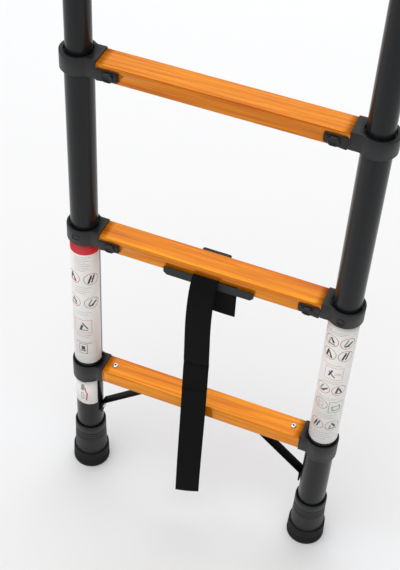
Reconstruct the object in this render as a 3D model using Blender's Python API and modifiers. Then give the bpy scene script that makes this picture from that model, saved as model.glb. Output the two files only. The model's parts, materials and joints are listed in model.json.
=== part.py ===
"""Telescopic extension ladder with seven rungs, standing fully extended.

Each stile is a stack of six tubes. Every tube slides into the one below it, and its upper end is
clamped in a collar that also holds a rung. Sprung latches on the front of rungs 2 to 6 push a pin
through the collar into the next tube. Metres, +Z up, X along the rungs, -Y is the user's side,
origin on the floor halfway between the feet.
"""
import math

import bmesh
import bpy
from mathutils import Matrix, Vector

# ---- driving dimensions, in metres -------------------------------------------------------------
RUNG_COUNT = 7
RUNG_SPACING = 0.300
FIRST_TREAD = 0.260          # floor to the first tread
STILE_X = 0.2005             # stile axis, either side of the middle
BASE_RADIUS = 0.0225         # outer radius of the lowest, widest tube
RADIUS_STEP = 0.0022         # each tube is this much smaller in radius than the one below
TUBE_WALL = 0.0013
TUBE_OVERLAP = 0.060         # how far a tube still reaches below the tread under it
GLIDE_HEIGHT = 0.008         # bush at the foot of each sliding tube, joined to the tube
CLEAR = 0.0003               # gap between pieces that touch
RUNNING = 0.0004             # gap round a piece that slides
TUBE_END_DROP = 0.0065       # tread down to the upper end of the tube in its collar

RUNG_DEPTH = 0.038
RUNG_HEIGHT = 0.026
RUNG_WALL = 0.0016
RUNG_EDGE = 0.003
COLLAR_FACE = 0.1684         # where the collar ends and the bare rung starts
COLLAR_RADIUS = 0.026
COLLAR_TOP = 0.0018          # above the tread
COLLAR_BOTTOM = -0.0255      # below the tread
FIXED_COLLAR_BOTTOM = -0.0365
TONGUE_END = 0.1565          # the collar's tongue reaches this far into the rung
FIXED_TONGUE_END = 0.1440

PIN_DROP = 0.0142            # tread down to the axis of the lock pin
PIN_RADIUS = 0.004
LATCH_TRAVEL = 0.008
ARM_END = 0.1360                 # end of the collar's front arm
ARM_Y = (-0.0214, -0.0193)       # outer and inner face of the arm
ARM_HEIGHT = 0.0150
SLOT_HALF = 0.0034               # half height of the latch's slot
LATCH_TAB = (0.1425, 0.1580)     # thumb tab, along the rung
LATCH_TAB_Y = (-0.0255, -0.0224)
LATCH_TAB_Z = (-0.0078, 0.0062)
SHUTTER = (0.1378, 0.1586)       # cover of the slot, joined to the thumb tab
SHUTTER_Y = (-0.0226, -0.0217)
SHUTTER_HALF = 0.0056
LATCH_NECK = (0.1490, 0.1550)    # web that joins the tab to the slider
LATCH_NECK_Y = (-0.0220, -0.0140)
NECK_HALF = 0.0030
SLIDER = (0.1400, 0.1545)        # block inside the rung
SLIDER_Y = (-0.0155, 0.0060)
SLIDER_HALF = 0.0065
PIN_START = 0.150

FOOT_TOP = 0.102
FOOT_FLOOR = 0.0205              # inside floor of the foot sleeve, where the tube stands
FOOT_RADIUS = 0.0262
SOLE_RADIUS = 0.0315

NECK_BOTTOM = -0.0285            # underside of the lowest collar's neck, below the tread
SCREW_X = 0.1528
SCREW_SHANK = 0.0020
SCREW_LENGTH = 0.012
RIVET_SHANK = 0.0020
BRACE_WIDTH = 0.0170
BRACE_THICK = 0.0025
BRACE_RIVET_Z = 0.1470
BRACE_TOP_RIVET_X = 0.0800
BRACE_PATH = [(0.1763, 0.1375), (0.1763, 0.1590), (0.0910, 0.2324), (0.0710, 0.2324)]    # (x, z)

PLATE_X = (-0.0656, 0.0717)
PLATE_FRONT = (-0.0240, -0.0214)     # front lip, outer and inner face
PLATE_Z = (-0.0300, -0.0264)         # base of the holder under the rung
LIP_TOP = -0.0152
LIP_CORNER = 0.005
HOOK_X = (-0.0240, 0.0200)
HOOK_Y = (0.0194, 0.0275)
HOOK_TOP = -0.0031
STRAP_WIDTH = 0.039
STRAP_THICK = 0.0012
STRAP_X = (-0.0201, -0.0201 + STRAP_WIDTH)
STRAP_PATH = [(-0.0256, 0.5448), (-0.0310, 0.5360), (-0.0372, 0.5220), (-0.0402, 0.5020),
              (-0.0411, 0.4700), (-0.0411, 0.3450), (-0.0470, 0.0600)]    # (y, z) of its middle
TAIL_X = (0.0070, 0.0070 + STRAP_WIDTH)
TAIL_Y = -0.0196                     # back face of the tail
TAIL_DROP = 0.0770

ROUND_STEPS = 20
SIDES = {"left": -1.0, "right": 1.0}

# ---- finishes: base colour, metallic, roughness --------------------------------------------------
FINISHES = {
    "charcoal_tube": ((0.036, 0.038, 0.041), 0.6, 0.38),
    "orange_rung": ((0.87, 0.30, 0.045), 0.8, 0.34),
    "black_plastic": ((0.030, 0.032, 0.034), 0.0, 0.48),
    "sole_rubber": ((0.016, 0.016, 0.016), 0.0, 0.80),
    "black_steel": ((0.012, 0.012, 0.012), 0.5, 0.45),
    "bright_steel": ((0.62, 0.62, 0.61), 1.0, 0.28),
    "webbing": ((0.012, 0.012, 0.013), 0.0, 0.85),
}


def make_materials():
    """One Principled material for each finish."""
    made = {}
    for name, (colour, metallic, roughness) in FINISHES.items():
        material = bpy.data.materials.new(name)
        material.use_nodes = True
        shader = material.node_tree.nodes["Principled BSDF"]
        shader.inputs["Base Color"].default_value = (*colour, 1.0)
        shader.inputs["Metallic"].default_value = metallic
        shader.inputs["Roughness"].default_value = roughness
        made[name] = material
    return made


def clear_scene():
    """Start from an empty scene."""
    for old in list(bpy.data.objects):
        bpy.data.objects.remove(old)


clear_scene()
PARTS = bpy.data.collections.new("extension_ladder")
CUTTERS = bpy.data.collections.new("cutters")
bpy.context.scene.collection.children.link(PARTS)
bpy.context.scene.collection.children.link(CUTTERS)
MATERIALS = make_materials()


# ---- helpers -------------------------------------------------------------------------------------
def tread(rung):
    """Height of a rung's tread above the floor."""
    return FIRST_TREAD + (rung - 1) * RUNG_SPACING


def tube_radius(tube):
    """Outer radius of tube 1 (the lowest) to 6 (the highest)."""
    return BASE_RADIUS - (tube - 1) * RADIUS_STEP


def add_object(name, mesh, finish=None, place=(0.0, 0.0, 0.0)):
    """Link a mesh as a named part, or as a hidden cutter when it has no finish."""
    thing = bpy.data.objects.new(name, mesh)
    thing.location = place
    if finish is None:
        CUTTERS.objects.link(thing)
        thing.hide_render = True
        thing.display_type = "WIRE"
    else:
        PARTS.objects.link(thing)
        mesh.materials.append(MATERIALS[finish])
    return thing


def mesh_of(bm, name):
    """Turn a bmesh into a mesh with its faces pointing out."""
    bmesh.ops.recalc_face_normals(bm, faces=bm.faces)
    mesh = bpy.data.meshes.new(name)
    bm.to_mesh(mesh)
    bm.free()
    return mesh


def box_mesh(name, low, high):
    """A box between two corners given in any order."""
    low, high = Vector(low), Vector(high)
    size = high - low
    bm = bmesh.new()
    bmesh.ops.create_cube(bm, size=1.0)
    bmesh.ops.scale(bm, vec=[abs(side) for side in size], verts=bm.verts)
    bmesh.ops.translate(bm, vec=(low + high) / 2, verts=bm.verts)
    return mesh_of(bm, name)


def rod_mesh(name, radius, low_x, high_x, steps=12):
    """A round rod along X."""
    bm = bmesh.new()
    bmesh.ops.create_cone(bm, cap_ends=True, segments=steps, radius1=radius, radius2=radius,
                          depth=abs(high_x - low_x))
    bmesh.ops.rotate(bm, cent=(0, 0, 0), matrix=Matrix.Rotation(math.pi / 2, 3, "Y"), verts=bm.verts)
    bmesh.ops.translate(bm, vec=((low_x + high_x) / 2, 0, 0), verts=bm.verts)
    mesh = mesh_of(bm, name)
    mesh.shade_smooth()
    mesh.set_sharp_from_angle(angle=math.radians(40))
    return mesh


def turned(name, profile, place, finish=None):
    """Spin a (radius, height) profile about Z. It runs down the outer side, and a profile that
    starts off the axis is closed into a ring."""
    mesh = bpy.data.meshes.new(name)
    bm = bmesh.new()
    points = [bm.verts.new((radius, 0.0, height)) for radius, height in profile]
    for upper, lower in zip(points, points[1:]):
        bm.edges.new((upper, lower))
    if profile[0][0] > 0.0:
        bm.edges.new((points[-1], points[0]))
    bm.to_mesh(mesh)
    bm.free()
    thing = add_object(name, mesh, finish, place)
    spin = thing.modifiers.new("turn", "SCREW")
    spin.steps = ROUND_STEPS
    spin.render_steps = ROUND_STEPS
    spin.use_merge_vertices = True
    spin.merge_threshold = 0.00001
    spin.use_smooth_shade = True
    return thing


def outline_mesh(name, points, thickness):
    """A flat outline in XY, filled and given a thickness about z = 0."""
    curve = bpy.data.curves.new(name, "CURVE")
    curve.dimensions = "2D"
    curve.fill_mode = "BOTH"
    curve.extrude = thickness / 2
    spline = curve.splines.new("POLY")
    spline.points.add(len(points) - 1)
    for point, (x, y) in zip(spline.points, points):
        point.co = (x, y, 0.0, 1.0)
    spline.use_cyclic_u = True
    guide = bpy.data.objects.new(name + "_outline", curve)
    CUTTERS.objects.link(guide)
    bpy.context.view_layer.update()
    evaluated = guide.evaluated_get(bpy.context.evaluated_depsgraph_get())
    raw = bpy.data.meshes.new_from_object(evaluated)
    bpy.data.objects.remove(guide)
    bm = bmesh.new()
    bm.from_mesh(raw)
    bmesh.ops.remove_doubles(bm, verts=bm.verts, dist=0.00001)
    return mesh_of(bm, name)


def bevel(thing, width, segments=1, angle=40.0):
    """Round the edges that turn by more than the angle."""
    edge = thing.modifiers.new("edges", "BEVEL")
    edge.width = width
    edge.segments = segments
    edge.limit_method = "ANGLE"
    edge.angle_limit = math.radians(angle)


def combine(thing, other, operation):
    """Join another mesh to a part, or cut it out of the part."""
    step = thing.modifiers.new(operation.lower() + "_" + other.name, "BOOLEAN")
    step.operation = operation
    step.object = other
    step.solver = "EXACT"


def cutter(name, mesh, place=(0.0, 0.0, 0.0)):
    """A hidden helper mesh for a Boolean."""
    return add_object("cut_" + name, mesh, None, place)


def inward(side, distance):
    """World X of a distance from the middle of the ladder, on one side."""
    return SIDES[side] * distance


# ---- stile tubes ---------------------------------------------------------------------------------
def make_tube(tube, side):
    """One stile tube. Tube 1 stands in the foot; the others carry a glide bush at the bottom."""
    radius = tube_radius(tube)
    bore = radius - TUBE_WALL
    top = tread(tube + 1) - TUBE_END_DROP
    bottom = FOOT_FLOOR if tube == 1 else tread(tube) - TUBE_OVERLAP
    length = top - bottom
    if tube == 1:
        profile = [(radius, length), (radius, 0.0), (bore, 0.0), (bore, length)]
    else:
        glide = tube_radius(tube - 1) - TUBE_WALL - CLEAR
        profile = [(radius, length), (radius, GLIDE_HEIGHT), (glide, GLIDE_HEIGHT), (glide, 0.0),
                   (bore, 0.0), (bore, length)]
    name = f"stile_{tube}_{side}"
    thing = turned(name, profile, (inward(side, STILE_X), 0.0, bottom), "charcoal_tube")
    holes = []
    if tube < RUNG_COUNT - 1:
        holes.append((tread(tube + 1) - PIN_DROP, PIN_RADIUS + RUNNING))
    if tube > 1:
        holes.append((tread(tube) - PIN_DROP, PIN_RADIUS + RUNNING))
    else:
        holes.append((BRACE_RIVET_Z, RIVET_SHANK + CLEAR))
    for number, (height, hole_radius) in enumerate(holes):
        start = -SIDES[side] * (bore - 0.006)
        end = -SIDES[side] * (radius + 0.004)
        drill = cutter(f"{name}_{number}", rod_mesh(name + "_hole", hole_radius, start, end),
                       (inward(side, STILE_X), 0.0, height))
        combine(thing, drill, "DIFFERENCE")
    return thing


# ---- rungs ---------------------------------------------------------------------------------------
def make_rung(rung):
    """A hollow rounded box profile. Rungs 2 to 6 have a slot at each end of the front wall for the
    latch, and rung 1 has a screw hole at each end of its tread."""
    name = f"rung_{rung}"
    half = COLLAR_FACE - CLEAR
    bm = bmesh.new()
    bmesh.ops.create_cube(bm, size=1.0)
    bmesh.ops.scale(bm, vec=(2 * half, RUNG_DEPTH, RUNG_HEIGHT), verts=bm.verts)
    ends = [face for face in bm.faces if abs(face.normal.x) > 0.5]
    bmesh.ops.delete(bm, geom=ends, context="FACES_ONLY")
    mesh = bpy.data.meshes.new(name)
    bm.to_mesh(mesh)
    bm.free()
    centre_z = tread(rung) - RUNG_HEIGHT / 2
    thing = add_object(name, mesh, "orange_rung", (0.0, 0.0, centre_z))
    bevel(thing, RUNG_EDGE, 2)
    wall = thing.modifiers.new("wall", "SOLIDIFY")
    wall.thickness = RUNG_WALL
    wall.offset = -1.0
    wall.use_even_offset = True
    for side in SIDES:
        if 1 < rung < RUNG_COUNT:
            slot = box_mesh(
                name + "_slot",
                (inward(side, LATCH_NECK[0] - LATCH_TRAVEL - 0.0005), -0.024, -PIN_DROP - 0.0034),
                (inward(side, LATCH_NECK[1] + 0.0005), -0.012, -PIN_DROP + 0.0034))
            combine(thing, cutter(f"{name}_slot_{side}", slot, (0, 0, tread(rung))), "DIFFERENCE")
        if rung == 1:
            hole = [(0.0, 0.004), (SCREW_SHANK + CLEAR, 0.004), (SCREW_SHANK + CLEAR, -0.004), (0.0, -0.004)]
            drill = turned(f"cut_{name}_hole_{side}", hole, (inward(side, SCREW_X), 0.0, tread(1)))
            combine(thing, drill, "DIFFERENCE")
            rivet_hole = turned(
                f"cut_{name}_rivet_{side}",
                [(0.0, 0.004), (RIVET_SHANK + CLEAR, 0.004), (RIVET_SHANK + CLEAR, -0.004), (0.0, -0.004)],
                (inward(side, BRACE_TOP_RIVET_X), 0.0, tread(1) - RUNG_HEIGHT))
            combine(thing, rivet_hole, "DIFFERENCE")
    return thing


# ---- collars -------------------------------------------------------------------------------------
def collar_outline(side):
    """Top view of a collar about its stile axis: an arc round the tube that flows into the neck."""
    toward = -SIDES[side]
    neck_end = STILE_X - COLLAR_FACE
    half = RUNG_DEPTH / 2
    start, stop, steps = math.radians(58), math.radians(302), 14
    arc = [start + (stop - start) * i / steps for i in range(steps + 1)]
    points = [(neck_end, half), (0.024, half + 0.0002)]
    points += [(COLLAR_RADIUS * math.cos(a), COLLAR_RADIUS * math.sin(a)) for a in arc]
    points += [(0.024, -half - 0.0002), (neck_end, -half)]
    return [(toward * x, y) for x, y in points]


def collar_bore(tube):
    """Stepped bore about the stile axis, as heights from the tread: a dark recess at the top, a
    guide for the next tube, then the seat of this collar's own tube."""
    seat = tube_radius(tube) + CLEAR
    if tube == RUNG_COUNT - 1:
        return [(0.0, 0.01), (seat, 0.01), (seat, -0.05), (0.0, -0.05)]
    guide = tube_radius(tube + 1) + RUNNING
    recess = tube_radius(tube) - 0.0002
    return [(0.0, 0.01), (recess, 0.01), (recess, -0.0032), (guide, -0.0032), (guide, -0.0062),
            (seat, -0.0062), (seat, -0.05), (0.0, -0.05)]


def make_collar(rung, side):
    """Moulded collar: ring and neck, a tongue inside the rung, and the latch arm on the front."""
    name = f"collar_{rung}_{side}"
    toward = -SIDES[side]
    bottom = COLLAR_BOTTOM if rung > 1 else NECK_BOTTOM
    place = (inward(side, STILE_X), 0.0, tread(rung))
    body = outline_mesh(name, collar_outline(side), COLLAR_TOP - bottom)
    body.transform(Matrix.Translation((0, 0, (COLLAR_TOP + bottom) / 2)))
    thing = add_object(name, body, "black_plastic", place)
    bevel(thing, 0.0010, 1)
    reach = STILE_X - (TONGUE_END if rung > 1 else FIXED_TONGUE_END)
    hollow_y = RUNG_DEPTH / 2 - RUNG_WALL - CLEAR
    tongue = box_mesh(name + "_tongue",
                      (toward * (STILE_X - COLLAR_FACE - 0.004), -hollow_y,
                       -RUNG_HEIGHT + RUNG_WALL + CLEAR),
                      (toward * reach, hollow_y, -RUNG_WALL - CLEAR))
    tongue_part = cutter(name + "_tongue", tongue, place)
    bevel(tongue_part, 0.0016, 1)
    combine(thing, tongue_part, "UNION")
    if 1 < rung < RUNG_COUNT:
        combine(thing, arm_part(name, side, place), "UNION")
        slot = box_mesh(
            name + "_slot",
            (toward * (STILE_X - LATCH_NECK[0] + LATCH_TRAVEL + 0.0005), -0.026, -PIN_DROP - SLOT_HALF),
            (toward * (STILE_X - LATCH_NECK[1] - 0.0005), -0.0185, -PIN_DROP + SLOT_HALF))
        combine(thing, cutter(name + "_slot", slot, place), "DIFFERENCE")
        pin_bore = rod_mesh(name + "_bore", PIN_RADIUS + RUNNING, toward * 0.008, toward * 0.050)
        pin_place = (place[0], 0.0, place[2] - PIN_DROP)
        combine(thing, cutter(name + "_pin", pin_bore, pin_place), "DIFFERENCE")
    if rung == 1:
        sleeve = turned(f"cut_{name}_sleeve",
                        [(0.0, -0.006), (COLLAR_RADIUS - 0.0002, -0.006),
                         (COLLAR_RADIUS - 0.0002, FIXED_COLLAR_BOTTOM + 0.001),
                         (COLLAR_RADIUS - 0.0012, FIXED_COLLAR_BOTTOM), (0.0, FIXED_COLLAR_BOTTOM)], place)
        combine(thing, sleeve, "UNION")
        bore = [(0.0, 0.01), (0.0245, 0.01), (0.0245, -0.0050), (BASE_RADIUS + CLEAR, -0.0050),
                (BASE_RADIUS + CLEAR, -0.05), (0.0, -0.05)]
        pilot = [(0.0, 0.0), (SCREW_SHANK + CLEAR, 0.0), (SCREW_SHANK + CLEAR, -SCREW_LENGTH - 0.001),
                 (0.0, -SCREW_LENGTH - 0.001)]
        drill = turned(f"cut_{name}_screw", pilot, (inward(side, SCREW_X), 0.0, tread(1)))
        combine(thing, drill, "DIFFERENCE")
    else:
        bore = collar_bore(rung - 1)
    combine(thing, turned(f"cut_{name}_bore", bore, place), "DIFFERENCE")
    return thing


def arm_part(name, side, place):
    """The collar's front arm: a thin plate over the end of the rung, with the latch's slot in it."""
    toward = -SIDES[side]
    end = STILE_X - ARM_END
    face = STILE_X - COLLAR_FACE
    root = -0.0165
    outline = [(end, ARM_Y[0]), (end, ARM_Y[1]), (face - CLEAR, ARM_Y[1]), (face - CLEAR, root),
               (face - 0.012, root), (face - 0.016, ARM_Y[0])]
    plate = outline_mesh(name + "_arm", [(toward * x, y) for x, y in outline], ARM_HEIGHT)
    plate.transform(Matrix.Translation((0, 0, -PIN_DROP)))
    return cutter(name + "_arm", plate, place)


# ---- latches -------------------------------------------------------------------------------------
def make_latch(rung, side):
    """Thumb tab, slot shutter, web, slider block and lock pin in one solid. Its origin is on the
    pin's axis. The pin stops just clear of the inner tube, in line with the tube's lock hole."""
    name = f"latch_{rung}_{side}"
    sign = SIDES[side]
    place = (0.0, 0.0, tread(rung) - PIN_DROP)
    tip = STILE_X - tube_radius(rung) - RUNNING
    block = box_mesh(name, (sign * SLIDER[0], SLIDER_Y[0], -SLIDER_HALF),
                     (sign * SLIDER[1], SLIDER_Y[1], SLIDER_HALF))
    thing = add_object(name, block, "black_plastic", place)
    bevel(thing, 0.0006, 1)
    web = box_mesh(name + "_web", (sign * LATCH_NECK[0], LATCH_NECK_Y[0], -NECK_HALF),
                   (sign * LATCH_NECK[1], LATCH_NECK_Y[1], NECK_HALF))
    shutter = box_mesh(name + "_shutter", (sign * SHUTTER[0], SHUTTER_Y[0], -SHUTTER_HALF),
                       (sign * SHUTTER[1], SHUTTER_Y[1], SHUTTER_HALF))
    tab = box_mesh(name + "_tab", (sign * LATCH_TAB[0], LATCH_TAB_Y[0], LATCH_TAB_Z[0]),
                   (sign * LATCH_TAB[1], LATCH_TAB_Y[1], LATCH_TAB_Z[1]))
    pin = rod_mesh(name + "_pin", PIN_RADIUS, sign * PIN_START, sign * tip)
    combine(thing, cutter(name + "_web", web, place), "UNION")
    combine(thing, cutter(name + "_shutter", shutter, place), "UNION")
    tab_part = cutter(name + "_tab", tab, place)
    bevel(tab_part, 0.0016, 1)
    combine(thing, tab_part, "UNION")
    combine(thing, cutter(name + "_pin", pin, place), "UNION")
    return thing


# ---- feet ----------------------------------------------------------------------------------------
def make_foot(side):
    """Plastic sleeve round the foot of the stile, and the rubber sole that grips it from below."""
    x = inward(side, STILE_X)
    bore = BASE_RADIUS + CLEAR
    turned(f"foot_sleeve_{side}",
           [(0.0, FOOT_FLOOR - CLEAR), (bore, FOOT_FLOOR - CLEAR), (bore, FOOT_TOP - 0.004),
            (bore + 0.0012, FOOT_TOP), (FOOT_RADIUS - 0.0006, FOOT_TOP), (FOOT_RADIUS, FOOT_TOP - 0.001),
            (FOOT_RADIUS + 0.0006, 0.070), (FOOT_RADIUS + 0.0018, 0.036), (0.0284, 0.0352),
            (0.0282, 0.0123), (0.0, 0.0123)],
           (x, 0.0, 0.0), "black_plastic")
    turned(f"foot_sole_{side}",
           [(0.0, 0.0120), (0.0285, 0.0120), (0.0287, 0.0340), (0.0300, 0.0340), (0.0306, 0.0330),
            (SOLE_RADIUS, 0.0040), (SOLE_RADIUS - 0.0012, 0.0), (0.0, 0.0)],
           (x, 0.0, 0.0), "sole_rubber")


# ---- fasteners and braces of rung 1 --------------------------------------------------------------
def make_screw(side):
    """Pan head screw that fixes rung 1 to its collar, with a driver recess."""
    profile = [(0.0, 0.0009), (0.0011, 0.0018), (0.0016, 0.0026), (0.0032, 0.0024), (0.0045, 0.0014),
               (0.0048, CLEAR), (SCREW_SHANK, CLEAR), (SCREW_SHANK, -SCREW_LENGTH + 0.002),
               (0.0, -SCREW_LENGTH)]
    turned(f"rung_screw_{side}", profile, (inward(side, SCREW_X), 0.0, tread(1)), "bright_steel")


def make_brace(side):
    """Bent flat bar from the stile up to the underside of rung 1, with a rivet at each end."""
    sign = SIDES[side]
    bm = bmesh.new()
    near = [bm.verts.new((sign * x, -BRACE_WIDTH / 2, z)) for x, z in BRACE_PATH]
    edges = [bm.edges.new(pair) for pair in zip(near, near[1:])]
    grown = bmesh.ops.extrude_edge_only(bm, edges=edges)
    far = [item for item in grown["geom"] if isinstance(item, bmesh.types.BMVert)]
    bmesh.ops.translate(bm, vec=(0, BRACE_WIDTH, 0), verts=far)
    name = f"brace_{side}"
    thing = add_object(name, mesh_of(bm, name), "black_steel")
    wall = thing.modifiers.new("plate", "SOLIDIFY")
    wall.thickness = BRACE_THICK
    wall.offset = 0.0
    wall.use_even_offset = True
    hole = RIVET_SHANK + CLEAR
    side_hole = rod_mesh(name + "_hole", hole, sign * 0.170, sign * 0.182)
    combine(thing, cutter(name + "_hole", side_hole, (0, 0, BRACE_RIVET_Z)), "DIFFERENCE")
    top_hole = turned(f"cut_{name}_top", [(0.0, 0.004), (hole, 0.004), (hole, -0.004), (0.0, -0.004)],
                      (inward(side, BRACE_TOP_RIVET_X), 0.0, BRACE_PATH[-1][1]))
    combine(thing, top_hole, "DIFFERENCE")


def make_rivets(side):
    """Domed rivets: one through the brace into the stile's wall, one up into the rung's floor."""
    profile = [(0.0, 0.0022), (0.0020, 0.0018), (0.0034, 0.0009), (0.0038, 0.0), (RIVET_SHANK, 0.0),
               (RIVET_SHANK, -0.0042), (0.0, -0.0042)]
    lower = turned(f"brace_rivet_{side}", profile,
                   (inward(side, BRACE_PATH[0][0] - BRACE_THICK / 2 - CLEAR), 0.0, BRACE_RIVET_Z),
                   "bright_steel")
    lower.rotation_euler = (0.0, -SIDES[side] * math.pi / 2, 0.0)
    upper = turned(f"brace_rung_rivet_{side}", profile,
                   (inward(side, BRACE_TOP_RIVET_X), 0.0, BRACE_PATH[-1][1] - BRACE_THICK / 2 - CLEAR),
                   "bright_steel")
    upper.rotation_euler = (math.pi, 0.0, 0.0)


# ---- strap and its holder under rung 2 -----------------------------------------------------------
def make_strap_plate():
    """Moulded holder that hooks round rung 2: a long front lip and a short hook at the rear."""
    place = (0.0, 0.0, tread(2))
    low, high = PLATE_X
    foot = PLATE_Z[0]
    lip = [(low, LIP_TOP), (low, foot + LIP_CORNER), (low + LIP_CORNER, foot),
           (high - LIP_CORNER, foot), (high, foot + LIP_CORNER), (high, LIP_TOP)]
    mesh = outline_mesh("strap_plate", lip, PLATE_FRONT[1] - PLATE_FRONT[0])
    mesh.transform(Matrix.Rotation(math.pi / 2, 4, "X"))
    mesh.transform(Matrix.Translation((0, (PLATE_FRONT[0] + PLATE_FRONT[1]) / 2, 0)))
    thing = add_object("strap_plate", mesh, "black_plastic", place)
    bevel(thing, 0.0007, 1)
    base = box_mesh("plate_base", (PLATE_X[0] + LIP_CORNER, PLATE_FRONT[0] + 0.001, PLATE_Z[0] + 0.0002),
                    (PLATE_X[1] - LIP_CORNER, HOOK_Y[0] + 0.001, PLATE_Z[1]))
    hook = box_mesh("plate_hook", (HOOK_X[0], HOOK_Y[0], PLATE_Z[0] + 0.0001),
                    (HOOK_X[1], HOOK_Y[1], HOOK_TOP))
    slot = box_mesh("plate_slot", (STRAP_X[0] - 0.003, PLATE_FRONT[1], -0.040),
                    (TAIL_X[1] + 0.003, -0.0188, -0.020))
    combine(thing, cutter("plate_base", base, place), "UNION")
    hook_part = cutter("plate_hook", hook, place)
    bevel(hook_part, 0.0020, 1)
    combine(thing, hook_part, "UNION")
    combine(thing, cutter("plate_slot", slot, place), "DIFFERENCE")


def make_straps():
    """The carrying strap as plain solids: the long free end, which bows out in front of the rung and
    hangs down, and the short tail."""
    bm = bmesh.new()
    near = [bm.verts.new((STRAP_X[0], y, z)) for y, z in STRAP_PATH]
    edges = [bm.edges.new(pair) for pair in zip(near, near[1:])]
    grown = bmesh.ops.extrude_edge_only(bm, edges=edges)
    far = [item for item in grown["geom"] if isinstance(item, bmesh.types.BMVert)]
    bmesh.ops.translate(bm, vec=(STRAP_WIDTH, 0, 0), verts=far)
    strap = add_object("strap", mesh_of(bm, "strap"), "webbing")
    cloth = strap.modifiers.new("cloth", "SOLIDIFY")
    cloth.thickness = STRAP_THICK
    cloth.offset = 0.0
    cloth.use_even_offset = True
    tail_top = tread(2) + LIP_TOP - 0.001
    add_object("strap_tail", box_mesh("strap_tail", (TAIL_X[0], TAIL_Y - STRAP_THICK, tread(2) - TAIL_DROP),
                                      (TAIL_X[1], TAIL_Y, tail_top)), "webbing")


def make_top_cap(side):
    """End cap that closes the highest tube and its collar."""
    spigot = tube_radius(RUNG_COUNT - 1) - TUBE_WALL - CLEAR
    under = COLLAR_TOP + CLEAR
    profile = [(0.0, under + 0.0045), (0.0120, under + 0.0042), (0.0185, under + 0.0030),
               (0.0205, under + 0.0012), (0.0205, under), (spigot, under), (spigot, -0.018), (0.0, -0.018)]
    turned(f"top_cap_{side}", profile, (inward(side, STILE_X), 0.0, tread(RUNG_COUNT)), "black_plastic")


# ---- assembly ------------------------------------------------------------------------------------
def hang_section(rung, things):
    """Parent the pieces of a sliding section to an empty on its slide axis, at its tread."""
    frame = bpy.data.objects.new(f"section_{rung}_slide", None)
    frame.location = (0.0, 0.0, tread(rung))
    PARTS.objects.link(frame)
    for thing in things:
        thing.location.z -= tread(rung)
        thing.parent = frame


def build():
    """Base ladder first, then one sliding section for each rung above the second."""
    for side in SIDES:
        make_tube(1, side)
        make_foot(side)
        make_screw(side)
        make_brace(side)
        make_rivets(side)
        make_top_cap(side)
        for rung in (1, 2):
            make_collar(rung, side)
    make_rung(1)
    make_rung(2)
    make_strap_plate()
    make_straps()
    for rung in range(3, RUNG_COUNT + 1):
        pieces = [make_rung(rung)]
        for side in SIDES:
            pieces.append(make_tube(rung - 1, side))
            pieces.append(make_collar(rung, side))
        hang_section(rung, pieces)
    for rung in range(2, RUNG_COUNT):
        for side in SIDES:
            make_latch(rung, side)


build()
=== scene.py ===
# %% [markdown]
# # A telescopic ladder
# The ladder stands fully drawn out. Each stile is a stack of six aluminium tubes with a dark coating,
# and each tube ends in a moulded collar that also holds a rung. The engineering model gives every
# piece its size, its place and the body that it slides with. This lesson builds the surfaces that a
# person would see: round tubes, ribbed treads, soft moulded edges, printed labels and woven webbing.
# All lengths are in metres. The user stands on the -Y side, and +Z is up.

# %% Load the engineering model
import json
import math

import bmesh
import bpy
from mathutils import Matrix, Vector

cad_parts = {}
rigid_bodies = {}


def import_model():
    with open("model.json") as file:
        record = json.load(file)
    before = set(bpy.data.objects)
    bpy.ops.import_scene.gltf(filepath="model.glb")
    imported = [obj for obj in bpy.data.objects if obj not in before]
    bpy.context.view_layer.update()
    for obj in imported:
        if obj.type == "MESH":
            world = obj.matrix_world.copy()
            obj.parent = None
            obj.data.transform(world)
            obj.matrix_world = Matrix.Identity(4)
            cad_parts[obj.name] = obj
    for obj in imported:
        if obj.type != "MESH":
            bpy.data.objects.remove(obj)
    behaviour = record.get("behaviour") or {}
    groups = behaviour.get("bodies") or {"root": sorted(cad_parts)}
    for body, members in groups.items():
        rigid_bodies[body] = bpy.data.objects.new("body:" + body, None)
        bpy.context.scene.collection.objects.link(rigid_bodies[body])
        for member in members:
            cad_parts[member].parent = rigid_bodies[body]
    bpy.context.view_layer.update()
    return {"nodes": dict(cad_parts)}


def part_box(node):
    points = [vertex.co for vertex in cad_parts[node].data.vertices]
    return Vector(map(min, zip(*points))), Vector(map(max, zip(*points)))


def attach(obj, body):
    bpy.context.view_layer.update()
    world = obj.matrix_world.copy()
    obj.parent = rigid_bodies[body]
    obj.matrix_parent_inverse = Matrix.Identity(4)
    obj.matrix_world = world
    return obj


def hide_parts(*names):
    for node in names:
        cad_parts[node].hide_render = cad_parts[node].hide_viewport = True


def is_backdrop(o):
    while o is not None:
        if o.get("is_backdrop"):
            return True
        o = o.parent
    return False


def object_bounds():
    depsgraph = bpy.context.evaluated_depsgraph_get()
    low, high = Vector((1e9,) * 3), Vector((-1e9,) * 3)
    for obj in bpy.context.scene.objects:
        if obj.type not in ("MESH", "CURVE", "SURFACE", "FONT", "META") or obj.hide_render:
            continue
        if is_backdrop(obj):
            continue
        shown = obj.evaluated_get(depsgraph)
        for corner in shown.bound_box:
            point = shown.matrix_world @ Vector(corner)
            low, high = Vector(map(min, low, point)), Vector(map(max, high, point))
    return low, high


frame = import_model()

# %% [markdown]
# ## Places that everything else hangs on
# The tread heights and the stile axes are read from the model's boxes, so that the surfaces follow
# the model if its sizes change.

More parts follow.
